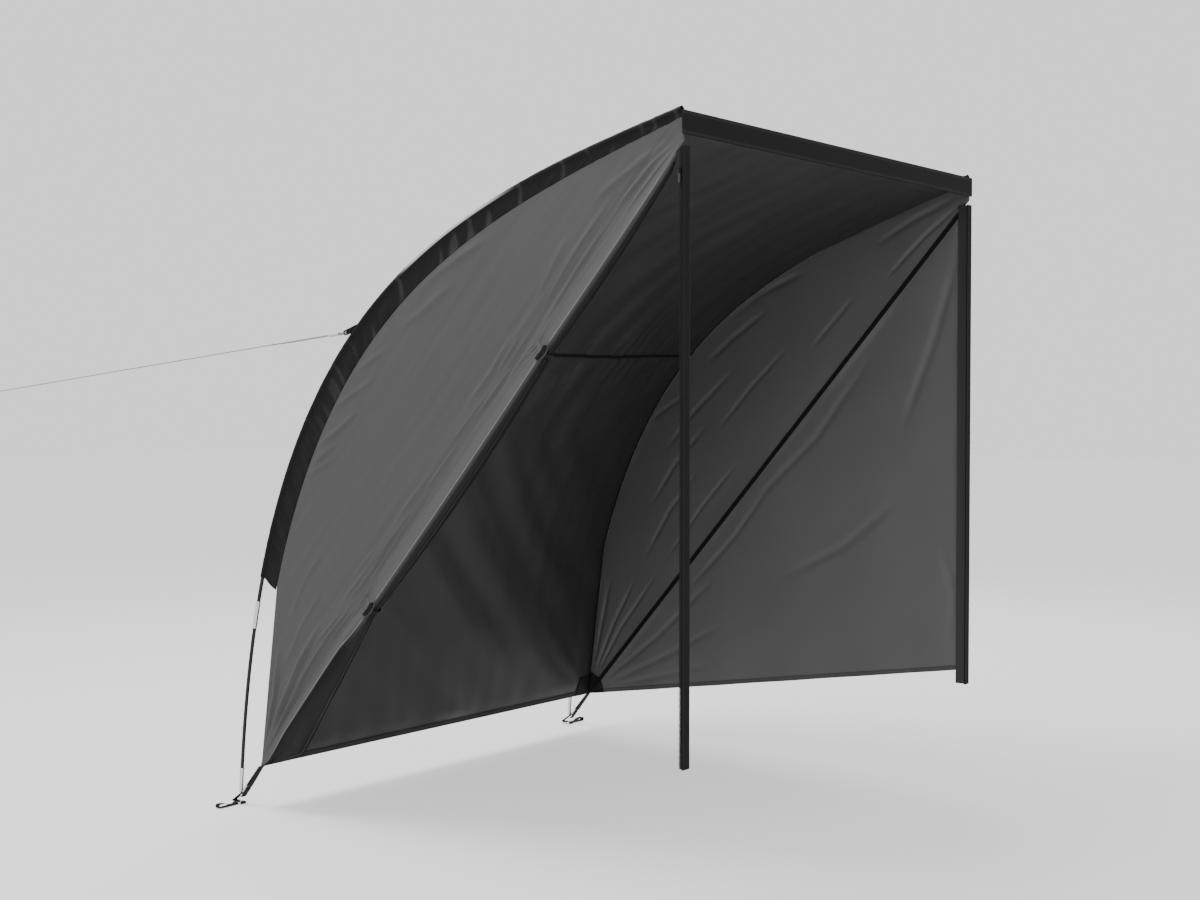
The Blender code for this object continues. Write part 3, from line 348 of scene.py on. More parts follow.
# Distance along the seam, width and half thickness; then what each stretch adds to these two midway
ROLL_STOPS = ((0.012, 0.010, 0.0045), (0.165, 0.104, 0.0100), (0.700, 0.035, 0.0175),
              (0.716, 0.035, 0.0175), (1.669, 0.035, 0.0175), (1.685, 0.035, 0.0175),
              (2.2774, 0.024, 0.0110), (2.3225, 0.010, 0.0060))
ROLL_SWELL = ((0.0, 0.0), (0.0, 0.00325), (0.0, 0.0), (0.019, 0.0065), (0.0, 0.0),
              (0.0095, 0.00325), (0.0, 0.0))
# Of the opened flap: shares of its half thickness, then places, each a most and a share of the width
FLAT_SHARE, FOLD_SHARE = 0.34, 0.62
FLAP_RIDGE, FLAP_JOIN, FLAP_BORDER = (0.011, 0.40), (0.010, 0.36), (0.0125, 0.45)


def roll_size(distance):
    """Width and half thickness of the roll."""
    distance = min(max(distance, ROLL_STOPS[0][0]), ROLL_STOPS[-1][0])
    for first, last, swell in zip(ROLL_STOPS, ROLL_STOPS[1:], ROLL_SWELL):
        if distance <= last[0]:
            share = (distance - first[0]) / (last[0] - first[0])
            belly = sin(pi * share) ** 0.8
            sizes = zip(first[1:], last[1:], swell)
            return [low + (high - low) * share + extra * belly for low, high, extra in sizes]
    return list(ROLL_STOPS[-1][1:])


def flapped(distance):
    """How far the roll has opened out into a flat flap, towards the hem."""
    return 1.0 - ease((distance - 0.51) / 0.18)


def flap_lap(distance):
    """How far the flap laps back over the panel, past the seam."""
    return 0.008 * ease((distance - 0.04) / 0.14) * (1.0 - ease((distance - 0.58) / 0.11))


def roll_span(distance):
    """The roll's middle, width and half thickness, with the flap's lap."""
    width, thick = roll_size(distance)
    lap = flap_lap(distance)
    width += lap
    return width / 2.0 + GAP - lap, width, thick


def flap_place(most, share, distance):
    """A place on the flap, from the seam."""
    return min(most, share * roll_span(distance)[1]) - flap_lap(distance)


def roll_face(q, distance):
    """How far the roll's outer face stands out from the panel."""
    middle, width, thick = roll_span(distance)
    share = min(abs(q - middle) / (width / 2.0), 1.0)
    round_face = thick * sqrt(max(1.0 - share * share, 0.0))
    flat = thick * FLAT_SHARE * sqrt(max(1.0 - share ** 6, 0.0))
    past_ridge = max(q - flap_place(*FLAP_RIDGE, distance), 0.0)
    fold = thick * FOLD_SHARE * exp(-((past_ridge / 0.0065) ** 2))
    fold *= sqrt(max(1.0 - share ** 4, 0.0))
    open_face = flapped(distance)
    return round_face * (1.0 - open_face) + (flat + fold) * open_face


def join_place(distance):
    """Where, from the seam, the panel's cloth passes into the roll."""
    middle, width, _ = roll_span(distance)
    round_q = middle - width / 4.0
    return round_q + (flap_place(*FLAP_JOIN, distance) - round_q) * flapped(distance)


def roll_join(distance):
    """The join's place, height and slope."""
    q = join_place(distance)
    step = 0.0004
    slope = (roll_face(q + step, distance) - roll_face(q - step, distance)) / (2.0 * step)
    return q, roll_face(q, distance), slope


def roll_border(distance):
    """Where the outer face of the rolled cloth gives way to its coated inner face, tinted dark as
    painted shade.
    """
    middle, width, _ = roll_span(distance)
    round_q = middle - 0.05 * width
    return round_q + (flap_place(*FLAP_BORDER, distance) - round_q) * flapped(distance)


def panel_rise(q, distance, join):
    """The panel's lift where it runs up on to the roll, with a shallow valley before it."""
    top_q, top, slope = join
    fair = 0.012 + 0.008 * ease(distance / 0.40) + 0.016 * ease((distance - 0.72) / 0.12)
    fair += 0.020 * ease((distance - 1.45) / 0.40) + flap_lap(distance)
    fade = ease((DOOR_SEAM - distance) / 0.06)
    valley = -0.0016 * exp(-(((q + fair + 0.003) / 0.0065) ** 2)) * ease(distance / 0.2)
    if q <= -fair:
        return valley * fade
    span = top_q + fair
    share = min((q + fair) / span, 1.0)
    rise = top * (3.0 * share ** 2 - 2.0 * share ** 3) + slope * span * (share ** 3 - share ** 2)
    return (rise + valley * (1.0 - share)) * fade


def tie_pleats(q, distance):
    """Small pleats that the ties draw into the cloth."""
    total = 0.0
    for place in TIES:
        away = distance - place
        near = exp(-((away / 0.055) ** 2)) * exp(-(((q + 0.004) / 0.040) ** 2))
        if near > 0.01:
            fan = q / (0.0085 + 0.10 * abs(away))
            total += 0.0030 * near * (0.5 + 0.5 * cos(2.0 * pi * fan)) * ease(abs(away) / 0.012)
    return total


# Meshes

def new_grid(rows, columns, place, uv, wrap=False, caps=False, outward=None, tag=None):
    """A grid bent to a shape by place(along, across), charted in metres by uv(along, across)."""
    bm = bmesh.new()
    bmesh.ops.create_grid(bm, x_segments=columns, y_segments=rows, size=0.5)
    chart = bm.loops.layers.uv.new("UVMap")
    mark = bm.verts.layers.float.new("coat_and_painted_light") if tag else None
    for face in bm.faces:
        for loop in face.loops:
            loop[chart].uv = uv(loop.vert.co.y + 0.5, loop.vert.co.x + 0.5)
    for vert in bm.verts:
        run, across = vert.co.y + 0.5, vert.co.x + 0.5
        if tag:
            vert[mark] = tag(run, across)
        vert.co = place(run, across)
    if wrap:
        bmesh.ops.remove_doubles(bm, verts=bm.verts, dist=2e-6)
    if caps:
        bmesh.ops.holes_fill(bm, edges=[e for e in bm.edges if e.is_boundary], sides=0)
    if wrap:
        bmesh.ops.recalc_face_normals(bm, faces=bm.faces)
    if outward is not None:
        bm.normal_update()
        facing = sum((f.normal.dot(outward) * f.calc_area() for f in bm.faces), 0.0)
        if facing < 0.0:
            bmesh.ops.reverse_faces(bm, faces=bm.faces)
    return bm


def finish_piece(name, bm, finishes, body="tent", stands_for=(), wall=0.0,
                 smooth=40.0):
    """A finished piece from a bmesh, on its body, with its materials and its wall."""
    mesh = bpy.data.meshes.new(name)
    bm.to_mesh(mesh)
    bm.free()
    piece = bpy.data.objects.new(name, mesh)
    bpy.context.scene.collection.objects.link(piece)
    for finish in finishes:
        mesh.materials.append(finish)
    mesh.polygons.foreach_set("use_smooth", [True] * len(mesh.polygons))
    if smooth < 180.0:
        mesh.set_sharp_from_angle(angle=radians(smooth))
    if wall:
        solid = piece.modifiers.new("Wall", "SOLIDIFY")
        solid.thickness = wall
        solid.offset = -1.0
        solid.material_offset = len(finishes) - 1
        solid.material_offset_rim = 0
    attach(piece, body)
    if stands_for:
        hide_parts(*stands_for)
    return piece


def band(path, side, width, thick, ends=True, tag=None):
    """A woven strap along a path: side is the way its width lies, one vector or one for each point."""
    bevel = min(thick * 0.36, 0.0006)
    wide, deep = width / 2.0, thick / 2.0
    section = [(-wide, -deep + bevel), (-wide + bevel, -deep), (-wide / 2.0, -deep), (0.0, -deep),
               (wide / 2.0, -deep), (wide - bevel, -deep), (wide, -deep + bevel), (wide, deep - bevel),
               (wide - bevel, deep), (wide / 2.0, deep), (0.0, deep), (-wide / 2.0, deep),
               (-wide + bevel, deep), (-wide, deep - bevel)]
    section.append(section[0])
    rows, columns = len(path) - 1, len(section) - 1
    runs = path_runs(path)

    def place(run, across):
        index = round(run * rows)
        u, v = section[round(across * columns)]
        ahead = (path[min(index + 1, rows)] - path[max(index - 1, 0)]).normalized()
        across_way = (side[index] if isinstance(side, list) else side).normalized()
        return path[index] + across_way * u + ahead.cross(across_way).normalized() * v

    def uv(run, across):
        return section[round(across * columns)][0], runs[round(run * rows)]

    return new_grid(rows, columns, place, uv, wrap=True, caps=ends, tag=tag)


def tube(path, radius, sides=14, closed=False):
    """A round wire or cord along a path of points, carried round without a twist."""
    rows = len(path) - 1
    radii = radius if isinstance(radius, list) else [radius] * len(path)
    frames, runs, normal = [], path_runs(path), None
    for i, point in enumerate(path):
        before = path[i - 1] if i else (path[-2] if closed else point)
        after = path[i + 1] if i < rows else (path[1] if closed else point)
        ahead = (after - before).normalized()
        if normal is None:
            normal = ahead.orthogonal().normalized()
        normal = (normal - ahead * normal.dot(ahead)).normalized()
        frames.append((normal.copy(), ahead.cross(normal)))
    if closed:
        frames[-1] = frames[0]

    def place(run, across):
        index = round(run * rows)
        turn = whole_turn(across, sides)
        first, second = frames[index]
        return path[index] + (first * cos(turn) + second * sin(turn)) * radii[index]

    def uv(run, across):
        return across, runs[round(run * rows)]

    return new_grid(rows, sides, place, uv, wrap=True, caps=not closed)


def turned(side, outline, sides=20, hollow=False):
    """A round part on an arch from its outline of distance and radius."""
    points = outline + outline[:1] if hollow else outline
    rows = len(points) - 1

    def place(run, across):
        distance, radius = points[round(run * rows)]
        centre, inward = along(distance)
        turn = whole_turn(across, sides)
        return spot(centre + inward * (radius * cos(turn)), side * HALF + radius * sin(turn))

    def uv(run, across):
        return across * 2.0 * pi * POLE_RADIUS, points[round(run * rows)][0]

    return new_grid(rows, sides, place, uv, wrap=True, caps=not hollow)


def stepped(start, stop, pitch=0.03):
    """Even distances from start to stop."""
    count = max(2, round((stop - start) / pitch))
    return [start + (stop - start) * i / count for i in range(count + 1)]


def joined(*parts):
    """Several bmeshes as one."""
    whole = parts[0]
    for part in parts[1:]:
        mesh = bpy.data.meshes.new("part")
        part.to_mesh(mesh)
        part.free()
        whole.from_mesh(mesh)
        bpy.data.meshes.remove(mesh)
    return whole


def shoelace(points):
    total = 0.0
    for first, last in zip(points, points[1:] + points[:1]):
        total += first.x * last.y - last.x * first.y
    return abs(total) / 2.0


# Materials

STITCH_HALF = 0.00042    # half a stitching thread's width
STITCH_LONG = 0.0027     # a stitch's length
STITCH_PITCH = 0.0034    # from one stitch to the next


class Value:
    """A shader socket that takes part in plain arithmetic."""

    def __init__(self, bench, socket):
        self.bench, self.socket = bench, socket

    def __add__(self, other):
        return self.bench.math("ADD", self, other)

    __radd__ = __add__

    def __mul__(self, other):
        return self.bench.math("MULTIPLY", self, other)

    __rmul__ = __mul__

    def __sub__(self, other):
        return self.bench.math("SUBTRACT", self, other)

    def __rsub__(self, other):
        return self.bench.math("SUBTRACT", other, self)

    def __truediv__(self, other):
        return self.bench.math("DIVIDE", self, other)

    def __abs__(self):
        return self.bench.math("ABSOLUTE", self)

    def __mod__(self, other):
        return self.bench.math("FLOORED_MODULO", self, other)


class Bench:
    """One material's nodes."""

    def __init__(self, name):
        self.material = bpy.data.materials.new(name)
        self.material.use_nodes = True
        self.tree = self.material.node_tree
        self.tree.nodes.clear()

    def node(self, kind, settings=None, sockets=None):
        made = self.tree.nodes.new("ShaderNode" + kind)
        for key, value in (settings or {}).items():
            setattr(made, key, value)
        for key, value in (sockets or {}).items():
            if isinstance(value, Value):
                self.tree.links.new(value.socket, made.inputs[key])
            else:
                made.inputs[key].default_value = value
        return made

    def value(self, kind, settings=None, sockets=None, output=0):
        """What a new node puts out."""
        return Value(self, self.node(kind, settings, sockets).outputs[output])

    def math(self, operation, *values):
        return self.value("Math", {"operation": operation}, dict(enumerate(values)))

    def sine(self, turns):
        """A wave from 0 to 1 for each turn."""
        return self.math("SINE", turns * (2.0 * pi)) * 0.5 + 0.5

    def less(self, value, limit):
        return self.math("LESS_THAN", value, limit)

    def smooth(self, value, low, high):
        settings = {"interpolation_type": "SMOOTHSTEP"}
        return self.value("MapRange", settings, {0: value, 1: low, 2: high})

    def chart(self):
        """Metres across and along the cloth."""
        split = self.node("SeparateXYZ", None, {0: self.value("UVMap")})
        return Value(self, split.outputs[0]), Value(self, split.outputs[1])

    def place(self, stretch):
        """Object coordinates in metres, stretched for a grain."""
        coordinates = self.value("TexCoord", output="Object")
        return self.value("Mapping", None, {0: coordinates, "Scale": stretch})

    def noise(self, vector, scale, detail=3.0, roughness=0.5):
        sockets = {"Vector": vector, "Scale": scale, "Detail": detail, "Roughness": roughness}
        return self.value("TexNoise", None, sockets)

    def grain(self, scale, detail=3.0, roughness=0.5, stretch=(1.0, 1.0, 1.0)):
        """Noise in the piece's own metres."""
        return self.noise(self.place(stretch), scale, detail, roughness)

    def mark(self, name):
        return self.value("Attribute", {"attribute_name": name}, output="Fac")

    def mix(self, share, first, second):
        first = first if isinstance(first, Value) else (*first, 1.0)
        second = second if isinstance(second, Value) else (*second, 1.0)
        return self.value("Mix", {"data_type": "RGBA"}, {0: share, 6: first, 7: second}, 2)

    def tones(self, share, colour, first, second):
        """From one shade of a colour to another."""
        return self.mix(share, tint(colour, first), tint(colour, second))

    def bump(self, height, depth):
        return self.value("Bump", None, {"Strength": 1.0, "Distance": depth, "Height": height})

    def shade(self, colour, roughness, normal=None, **fixed):
        """The finished material."""
        colour = colour if isinstance(colour, Value) else (*colour, 1.0)
        sockets = {"Base Color": colour, "Roughness": roughness}
        if normal:
            sockets["Normal"] = normal
        sockets.update({key.replace("_", " "): value for key, value in fixed.items()})
        self.node("OutputMaterial", None, {0: self.value("BsdfPrincipled", None, sockets)})
        return self.material


def plain_weave(bench, pitch):
    """Threads that pass over and under each other, 0 in the holes and 1 on the crowns."""
    across, run = bench.chart()
    warp, weft = across / pitch, run / pitch
    over = (bench.math("FLOOR", warp) + bench.math("FLOOR", weft)) % 2.0
    warp_crown = abs(bench.math("SINE", warp * pi))
    weft_crown = abs(bench.math("SINE", weft * pi))
    return warp_crown * over + weft_crown * (1.0 - over)


def tint(colour, factor):
    return tuple(part * factor for part in colour)


def cloth(name, colour, roughness, pitch, depth, worn=0.10, marks=None, sheen=0.0, shine=0.3):
    """Woven cloth. marks names an attribute and a colour that the cloth turns to: on the rolled door its
    coating, tinted far darker as painted shade; on the sleeves a painted highlight.
    """
    bench = Bench(name)
    weave = plain_weave(bench, pitch)
    cloudy = bench.grain(2.6, 4.0, 0.6)
    fine = bench.grain(38.0, 3.0, 0.6)
    slub = bench.grain(60.0, 2.0, stretch=(1.0, 1.0, 14.0))
    tone = (cloudy - 0.5) * worn + (fine - 0.5) * (worn * 0.5)
    tone = tone + (slub - 0.5) * (worn * 0.4) + (weave - 0.6) * 0.12
    lit = bench.tones(tone + 0.5, colour, 0.62, 1.38)
    if marks:
        # The second tone where the mark is set: the rolled door's coating darkened as painted shade, or
        # the sleeves' painted highlight.
        coated = bench.tones(tone + 0.5, marks[1], 0.66, 1.34)
        lit = bench.mix(bench.mark(marks[0]), lit, coated)
    rough = roughness + (cloudy - 0.5) * 0.12 + (weave - 0.5) * 0.05
    normal = bench.bump(weave * 0.7 + fine * 0.6 + slub * 0.2, depth)
    return bench.shade(lit, rough, normal, Sheen_Weight=sheen, Sheen_Roughness=0.5,
                       Specular_IOR_Level=shine)


def tape(name, colour, half=0.0, rows=(), pitch=0.0012, thread=(0.05, 0.05, 0.052), depth=0.00022):
    """Ribbed tape or webbing, with rows of stitches at distances from its middle."""
    bench = Bench(name)
    across, run = bench.chart()
    rib = bench.sine(run / pitch)
    herring = bench.sine((abs(across) * 0.9 + run) / (pitch * 2.2))
    fuzz = bench.grain(240.0, 2.0, 0.6)
    cloudy = bench.grain(6.0, 3.0, 0.6)
    height = rib * 0.45 + herring * 0.4 + fuzz * 0.3
    tone = (cloudy - 0.5) * 0.35 + (rib - 0.5) * 0.22 + (herring - 0.5) * 0.15 + (fuzz - 0.5) * 0.3
    colour_now = bench.tones(tone + 0.5, colour, 0.55, 1.6)
    for row in rows:
        line = bench.less(abs(abs(across) - row), STITCH_HALF)
        dash = bench.less(run % STITCH_PITCH, STITCH_LONG)
        stitch = line * dash
        colour_now = bench.mix(stitch, colour_now, thread)
        height = height + stitch * 1.4 - (1.0 - dash) * line * 0.9
    if half:
        selvedge = bench.smooth(abs(across), half - 0.0012, half - 0.0006)
        height = height - selvedge * 0.5
    rough = 0.74 + (fuzz - 0.5) * 0.2
    return bench.shade(colour_now, rough, bench.bump(height, depth), Sheen_Weight=0.01,
                       Sheen_Roughness=0.4, Specular_IOR_Level=0.1)


def moulded(name, colour, roughness=0.42, grain=0.00004, shine=0.3):
    """Moulded plastic with a fine grain and a little wear."""
    bench = Bench(name)
    fine = bench.grain(1400.0, 2.0, 0.5)
    cloudy = bench.grain(45.0, 3.0, 0.6)
    scuff = bench.grain(160.0, 4.0, 0.7, (1.0, 1.0, 9.0))
    worn = bench.smooth(scuff, 0.56, 0.72)
    lit = bench.tones((cloudy - 0.5) * 0.5 + 0.4 + worn * 0.25, colour, 0.82, 1.3)
    rough = roughness + (fine - 0.5) * 0.14 + worn * 0.12
    return bench.shade(lit, rough, bench.bump(fine + scuff * 0.4, grain), Specular_IOR_Level=shine)


def metal(name, colour, roughness=0.30, stretch=(1.0, 1.0, 30.0)):
    """Drawn and plated steel."""
    bench = Bench(name)
    drawn = bench.grain(90.0, 3.0, 0.6, stretch)
    cloudy = bench.grain(70.0, 3.0, 0.6)
    stained = bench.smooth(cloudy, 0.55, 0.78)
    lit = bench.tones(stained * 0.6 + (drawn - 0.5) * 0.3 + 0.1, colour, 1.0, 0.62)
    rough = roughness + (drawn - 0.5) * 0.16 + stained * 0.14
    return bench.shade(lit, rough, bench.bump(drawn, 0.00003), Metallic=1.0)


def rod(name, colour):
    """Drawn glass fibre: long fine streaks under a hard skin."""
    bench = Bench(name)
    across, run = bench.chart()
    vector = bench.value("CombineXYZ", None, {0: across * 900.0, 1: run * 6.0, 2: 0.0})
    streak = bench.noise(vector, 1.0, 3.0, 0.6)
    cloudy = bench.grain(12.0, 3.0)
    lit = bench.tones((streak - 0.5) * 0.9 + (cloudy - 0.5) * 0.3 + 0.5, colour, 0.5, 2.2)
    rough = 0.34 + (streak - 0.5) * 0.2
    return bench.shade(lit, rough, bench.bump(streak, 0.00003), Specular_IOR_Level=0.25)


def braid(name, colour, lay=0.0052, strands=6.0):
    """Braided cord: two sets of strands that cross round it."""
    bench = Bench(name)
    around, run = bench.chart()
    left = bench.sine(around * strands + run / lay)
    right = bench.sine(around * strands - run / lay)
    over = bench.less(bench.sine(around * strands * 0.5 + 0.25), 0.5)
    crown = left * over + right * (1.0 - over)
    fuzz = bench.grain(900.0, 2.0)
    height = crown * 0.8 + fuzz * 0.3
    lit = bench.tones(crown * 0.7 + fuzz * 0.4, colour, 0.45, 1.15)
    return bench.shade(lit, 0.72 + (fuzz - 0.5) * 0.2, bench.bump(height, 0.0003), Sheen_Weight=0.1)


def pale_floor(name, colour, glow):
    """A matt floor, lit from within so that shadows on it stay pale."""
    bench = Bench(name)
    cloudy = bench.grain(0.7, 2.0)
    lit = bench.mix(cloudy, tint(colour, 0.99), colour)
    white = (1.0, 1.0, 1.0, 1.0)
    return bench.shade(lit, 0.9, Specular_IOR_Level=0.1, Emission_Color=white, Emission_Strength=glow)


def known(name, recipe, *given, **named):
    """A material that is made once."""
    return bpy.data.materials.get(name) or recipe(name, *given, **named)


def colours():
    return bpy.context.scene.tent_colours


def woven(name, colour, roughness, depth, **named):
    """A cloth with the tent's thread pitch."""
    pitch = bpy.context.scene.tent_sizes.thread_pitch
    return known(name, cloth, tuple(colour), roughness, pitch, depth, **named)


def outside_cloth():
    # The rolled door's inner face: the coating, tinted far darker than the coating itself as painted
    # shade on the roll's flank and flap.
    coated = ("coat_and_painted_light", tint(colours().inside, 0.18))
    return woven("grey_outside", colours().outside, roughness=0.60, depth=0.00010, marks=coated,
                 sheen=0.02, shine=0.14)


def folded_edge():
    """The outer cloth's sharp folded edge, painted paler as a highlight."""
    return woven("grey_folded_edge", tint(colours().outside, 2.1), roughness=0.56, depth=0.00010,
                 sheen=0.04)


def inside_cloth(side=False):
    """The coated inner side, of the panels and doors or else of the wall and the roof; the panels' and
    doors' copy is painted lighter, as painted light that falls on them through the open door.
    """
    if side:
        return woven("side_coating", colours().side_inside_painted_lighter, roughness=0.50, depth=0.00007, worn=0.16)
    return woven("dark_coating", colours().inside, roughness=0.50, depth=0.00007, worn=0.16)


def sleeve_cloth():
    # Where marked, the black cloth turns pale grey as a painted highlight.
    return woven("black_sleeve", colours().sleeve, roughness=0.50, depth=0.00010,
                 marks=("coat_and_painted_light", tuple(colours().sleeve_highlight)), worn=0.2, shine=0.07)


def binding_tape():
    return known("binding_tape", tape, tuple(colours().webbing), half=0.0075, rows=(0.0048,),
                 pitch=0.0010)


def hem_tape(name, colour):
    return known(name, tape, colour, half=HEM_WIDTH / 2.0, rows=(0.0066,), pitch=0.0008,
                 thread=(0.02, 0.02, 0.021))


def hem_cloth(side=False):
    """The hems' inner side, of the panels and doors or else of the wall."""
    if side:
        # The side hem is tinted from the panels' lighter copy of the coating, painted light.
        return hem_tape("side_hem", tint(colours().side_inside_painted_lighter, 0.74))
    return hem_tape("wall_hem", tint(colours().inside, 1.25))


def outer_hem_cloth():
    return hem_tape("outer_hem", tint(colours().outside, 0.80))


def strap_webbing(half=0.010, rows=()):
    """Webbing of a half width, with rows of stitches at distances from its middle."""
    name = f"webbing_{round(half * 1000)}_{len(rows)}"
    return known(name, tape, tuple(colours().webbing), half, rows, pitch=0.0016)


def black_plastic():
    return known("black_nylon", moulded, tuple(colours().black_plastic), roughness=0.58, shine=0.10)


def grey_plastic():
    return known("grey_nylon", moulded, tuple(colours().grey_plastic), roughness=0.46)


def steel():
    return known("plated_steel", metal, tuple(colours().steel))


def dull_steel():
    return known("dull_steel", metal, tint(colours().steel, 0.09), roughness=0.5)


def dress_nodes(names, finish):
    """Gives CAD nodes that stay as they are their material."""
    for name in names:
        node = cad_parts[name]
        mesh = node.data
        if not mesh.materials:
            mesh.materials.append(finish)
        for number in range(len(mesh.materials)):
            mesh.materials[number] = finish


# What a user would change

class TentSizes(bpy.types.PropertyGroup):
    """Sizes of the cloth and its details."""

    cloth_wall: bpy.props.FloatProperty(
        name="Cloth thickness", description="Wall of the coated cloth", default=0.0007, min=0.0002,
        max=0.002, unit="LENGTH", precision=5)
    thread_pitch: bpy.props.FloatProperty(
        name="Thread pitch", description="Distance between two threads of the cloth", default=0.0007,
        min=0.0002, max=0.003, unit="LENGTH", precision=5)
    crease_height: bpy.props.FloatProperty(
        name="Crease height", description="Share of their full height that the creases have",
        default=1.0, min=0.0, max=2.0, subtype="FACTOR")
    binding_width: bpy.props.FloatProperty(
        name="Binding width", description="Width of the tape that binds the cloth's edges",
        default=0.015, min=0.008, max=0.03, unit="LENGTH", precision=4)
    tooth_pitch: bpy.props.FloatProperty(
        name="Tooth pitch", description="Distance between two teeth of the zips", default=0.0030,
        min=0.0015, max=0.006, unit="LENGTH", precision=5)
    roll_fold: bpy.props.FloatProperty(
        name="Roll fold", description="Depth of the rolled door's folds, as a share of its radius",
        default=0.16, min=0.0, max=0.3, subtype="FACTOR")


class TentColours(bpy.types.PropertyGroup):
    """Colours of the tent's materials."""

    outside: bpy.props.FloatVectorProperty(
        name="Outside", description="The cloth's outer side", subtype="COLOR",
        default=(0.0500, 0.0500, 0.0511), min=0.0, max=1.0)
    inside: bpy.props.FloatVectorProperty(
        name="Inside", description="The coated inner side of the wall and the roof", subtype="COLOR",
        default=(0.0160, 0.0160, 0.0165), min=0.0, max=1.0)
    # The same coating as the wall's inside, painted lighter as light that falls on the panels and doors
    # through the open door.
    side_inside_painted_lighter: bpy.props.FloatVectorProperty(
        name="Side inside", description="The coated inner side of the panels and doors",
        subtype="COLOR", default=(0.067, 0.067, 0.068), min=0.0, max=1.0)
    sleeve: bpy.props.FloatVectorProperty(
        name="Sleeve", description="The black cloth of the pole sleeves", subtype="COLOR",
        default=(0.0070, 0.0070, 0.0073), min=0.0, max=1.0)
    # A painted highlight: the pale grey that the black sleeve cloth turns to along part of its outer
    # bend and on its wrinkle crests.
    sleeve_highlight: bpy.props.FloatVectorProperty(
        name="Sleeve strip", description="The pale strip along the sleeves' outer bend",
        subtype="COLOR", default=(0.34, 0.34, 0.35), min=0.0, max=1.0)
    webbing: bpy.props.FloatVectorProperty(
        name="Webbing", description="Straps, bindings and the header band", subtype="COLOR",
        default=(0.0045, 0.0045, 0.0048), min=0.0, max=1.0)
    pole: bpy.props.FloatVectorProperty(
        name="Pole", description="The glass fibre rods", subtype="COLOR",
        default=(0.006, 0.006, 0.0065), min=0.0, max=1.0)
    steel: bpy.props.FloatVectorProperty(
        name="Steel", description="Ferrules, rings and zip pulls", subtype="COLOR",
        default=(0.62, 0.62, 0.63), min=0.0, max=1.0)
    black_plastic: bpy.props.FloatVectorProperty(
        name="Black plastic", description="Sliders, toggles and pole tips", subtype="COLOR",
        default=(0.006, 0.006, 0.0065), min=0.0, max=1.0)
    grey_plastic: bpy.props.FloatVectorProperty(
        name="Grey plastic", description="Buckles and the line's runner", subtype="COLOR",
        default=(0.42, 0.42, 0.43), min=0.0, max=1.0)
    cord: bpy.props.FloatVectorProperty(
        name="Guy line", description="The braided line", subtype="COLOR", default=(0.24, 0.24, 0.245),
        min=0.0, max=1.0)


class StudioSettings(bpy.types.PropertyGroup):
    """The floor, the lights and the camera."""

    lens: bpy.props.FloatProperty(
        name="Lens", description="Focal length on a sensor 36 mm wide", default=51.66, min=10.0,
        max=200.0, unit="CAMERA")
    key_power: bpy.props.FloatProperty(
        name="Key light", description="Power of the large soft light above", default=430.0, min=0.0,
        unit="POWER")
    fill_power: bpy.props.FloatProperty(
        name="Fill light", description="Power of the soft light from the open side", default=120.0,
        min=0.0, unit="POWER")
    back_power: bpy.props.FloatProperty(
        name="Back light", description="Power of the soft light on the closed side", default=150.0,
        min=0.0, unit="POWER")
    room_light: bpy.props.FloatProperty(
        name="Room light", description="Strength of the light from all round", default=1.2,
        min=0.0, max=5.0)
    floor: bpy.props.FloatVectorProperty(
        name="Floor", description="The pale floor", subtype="COLOR", default=(0.42, 0.42, 0.42),
        min=0.0, max=1.0)
    floor_glow: bpy.props.FloatProperty(
        name="Floor glow", description="Light that the floor gives off itself", default=0.7,
        min=0.0, max=5.0)


# The stage

CAMERA_PLACE = (2.42, -4.39, -0.692)
CAMERA_WAY = (-0.6018, 0.7986)     # where it looks, on the level
CAMERA_DIP = 1.66                  # degrees below level
LIGHT_AIM = Vector((-0.8, 0.0, -0.9))


class STAGE_OT_studio(bpy.types.Operator):
    """Set a pale floor, soft light and the camera round the tent"""

    bl_idname = "tent.studio"
    bl_label = "Studio"

    def execute(self, context):
        studio = context.scene.studio_settings
        world = bpy.data.worlds.new("soft_room")
        world.use_nodes = True
        world.node_tree.nodes["Background"].inputs["Color"].default_value = (1.0, 1.0, 1.0, 1.0)
        world.node_tree.nodes["Background"].inputs["Strength"].default_value = studio.room_light
        context.scene.world = world
        bm = bmesh.new()
        bmesh.ops.create_grid(bm, x_segments=8, y_segments=8, size=30.0,
                              matrix=Matrix.Translation((0.0, 0.0, GROUND - 0.0005)))
        mesh = bpy.data.meshes.new("floor")
        bm.to_mesh(mesh)
        bm.free()
        floor = bpy.data.objects.new("floor", mesh)
        mesh.materials.append(known("pale_floor", pale_floor, tuple(studio.floor), studio.floor_glow))
        context.scene.collection.objects.link(floor)
        lights = (("key_light", studio.key_power, 3.6, (-2.6, -1.6, 4.0)),
                  ("fill_light", studio.fill_power, 2.4, (1.0, -5.4, 0.6)),
                  ("back_light", studio.back_power, 2.4, (-2.6, 4.6, 2.0)))
        for name, power, size, place in lights:
            data = bpy.data.lights.new(name, "AREA")
            data.energy = power
            data.shape = "DISK"
            data.size = size
            lamp = bpy.data.objects.new(name, data)
            lamp.location = place
            aim = LIGHT_AIM - Vector(place)
            lamp.rotation_euler = aim.to_track_quat("-Z", "Y").to_euler()
            context.scene.collection.objects.link(lamp)
        data = bpy.data.cameras.new("camera")
        data.lens = studio.lens
        data.sensor_width = 36.0
        data.sensor_fit = "HORIZONTAL"
        camera = bpy.data.objects.new("camera", data)
        camera.location = CAMERA_PLACE
        dip = radians(CAMERA_DIP)
        look = Vector((CAMERA_WAY[0] * cos(dip), CAMERA_WAY[1] * cos(dip), -sin(dip)))
        camera.rotation_euler = look.to_track_quat("-Z", "Y").to_euler()
        context.scene.collection.objects.link(camera)
        context.scene.camera = camera
        return {"FINISHED"}


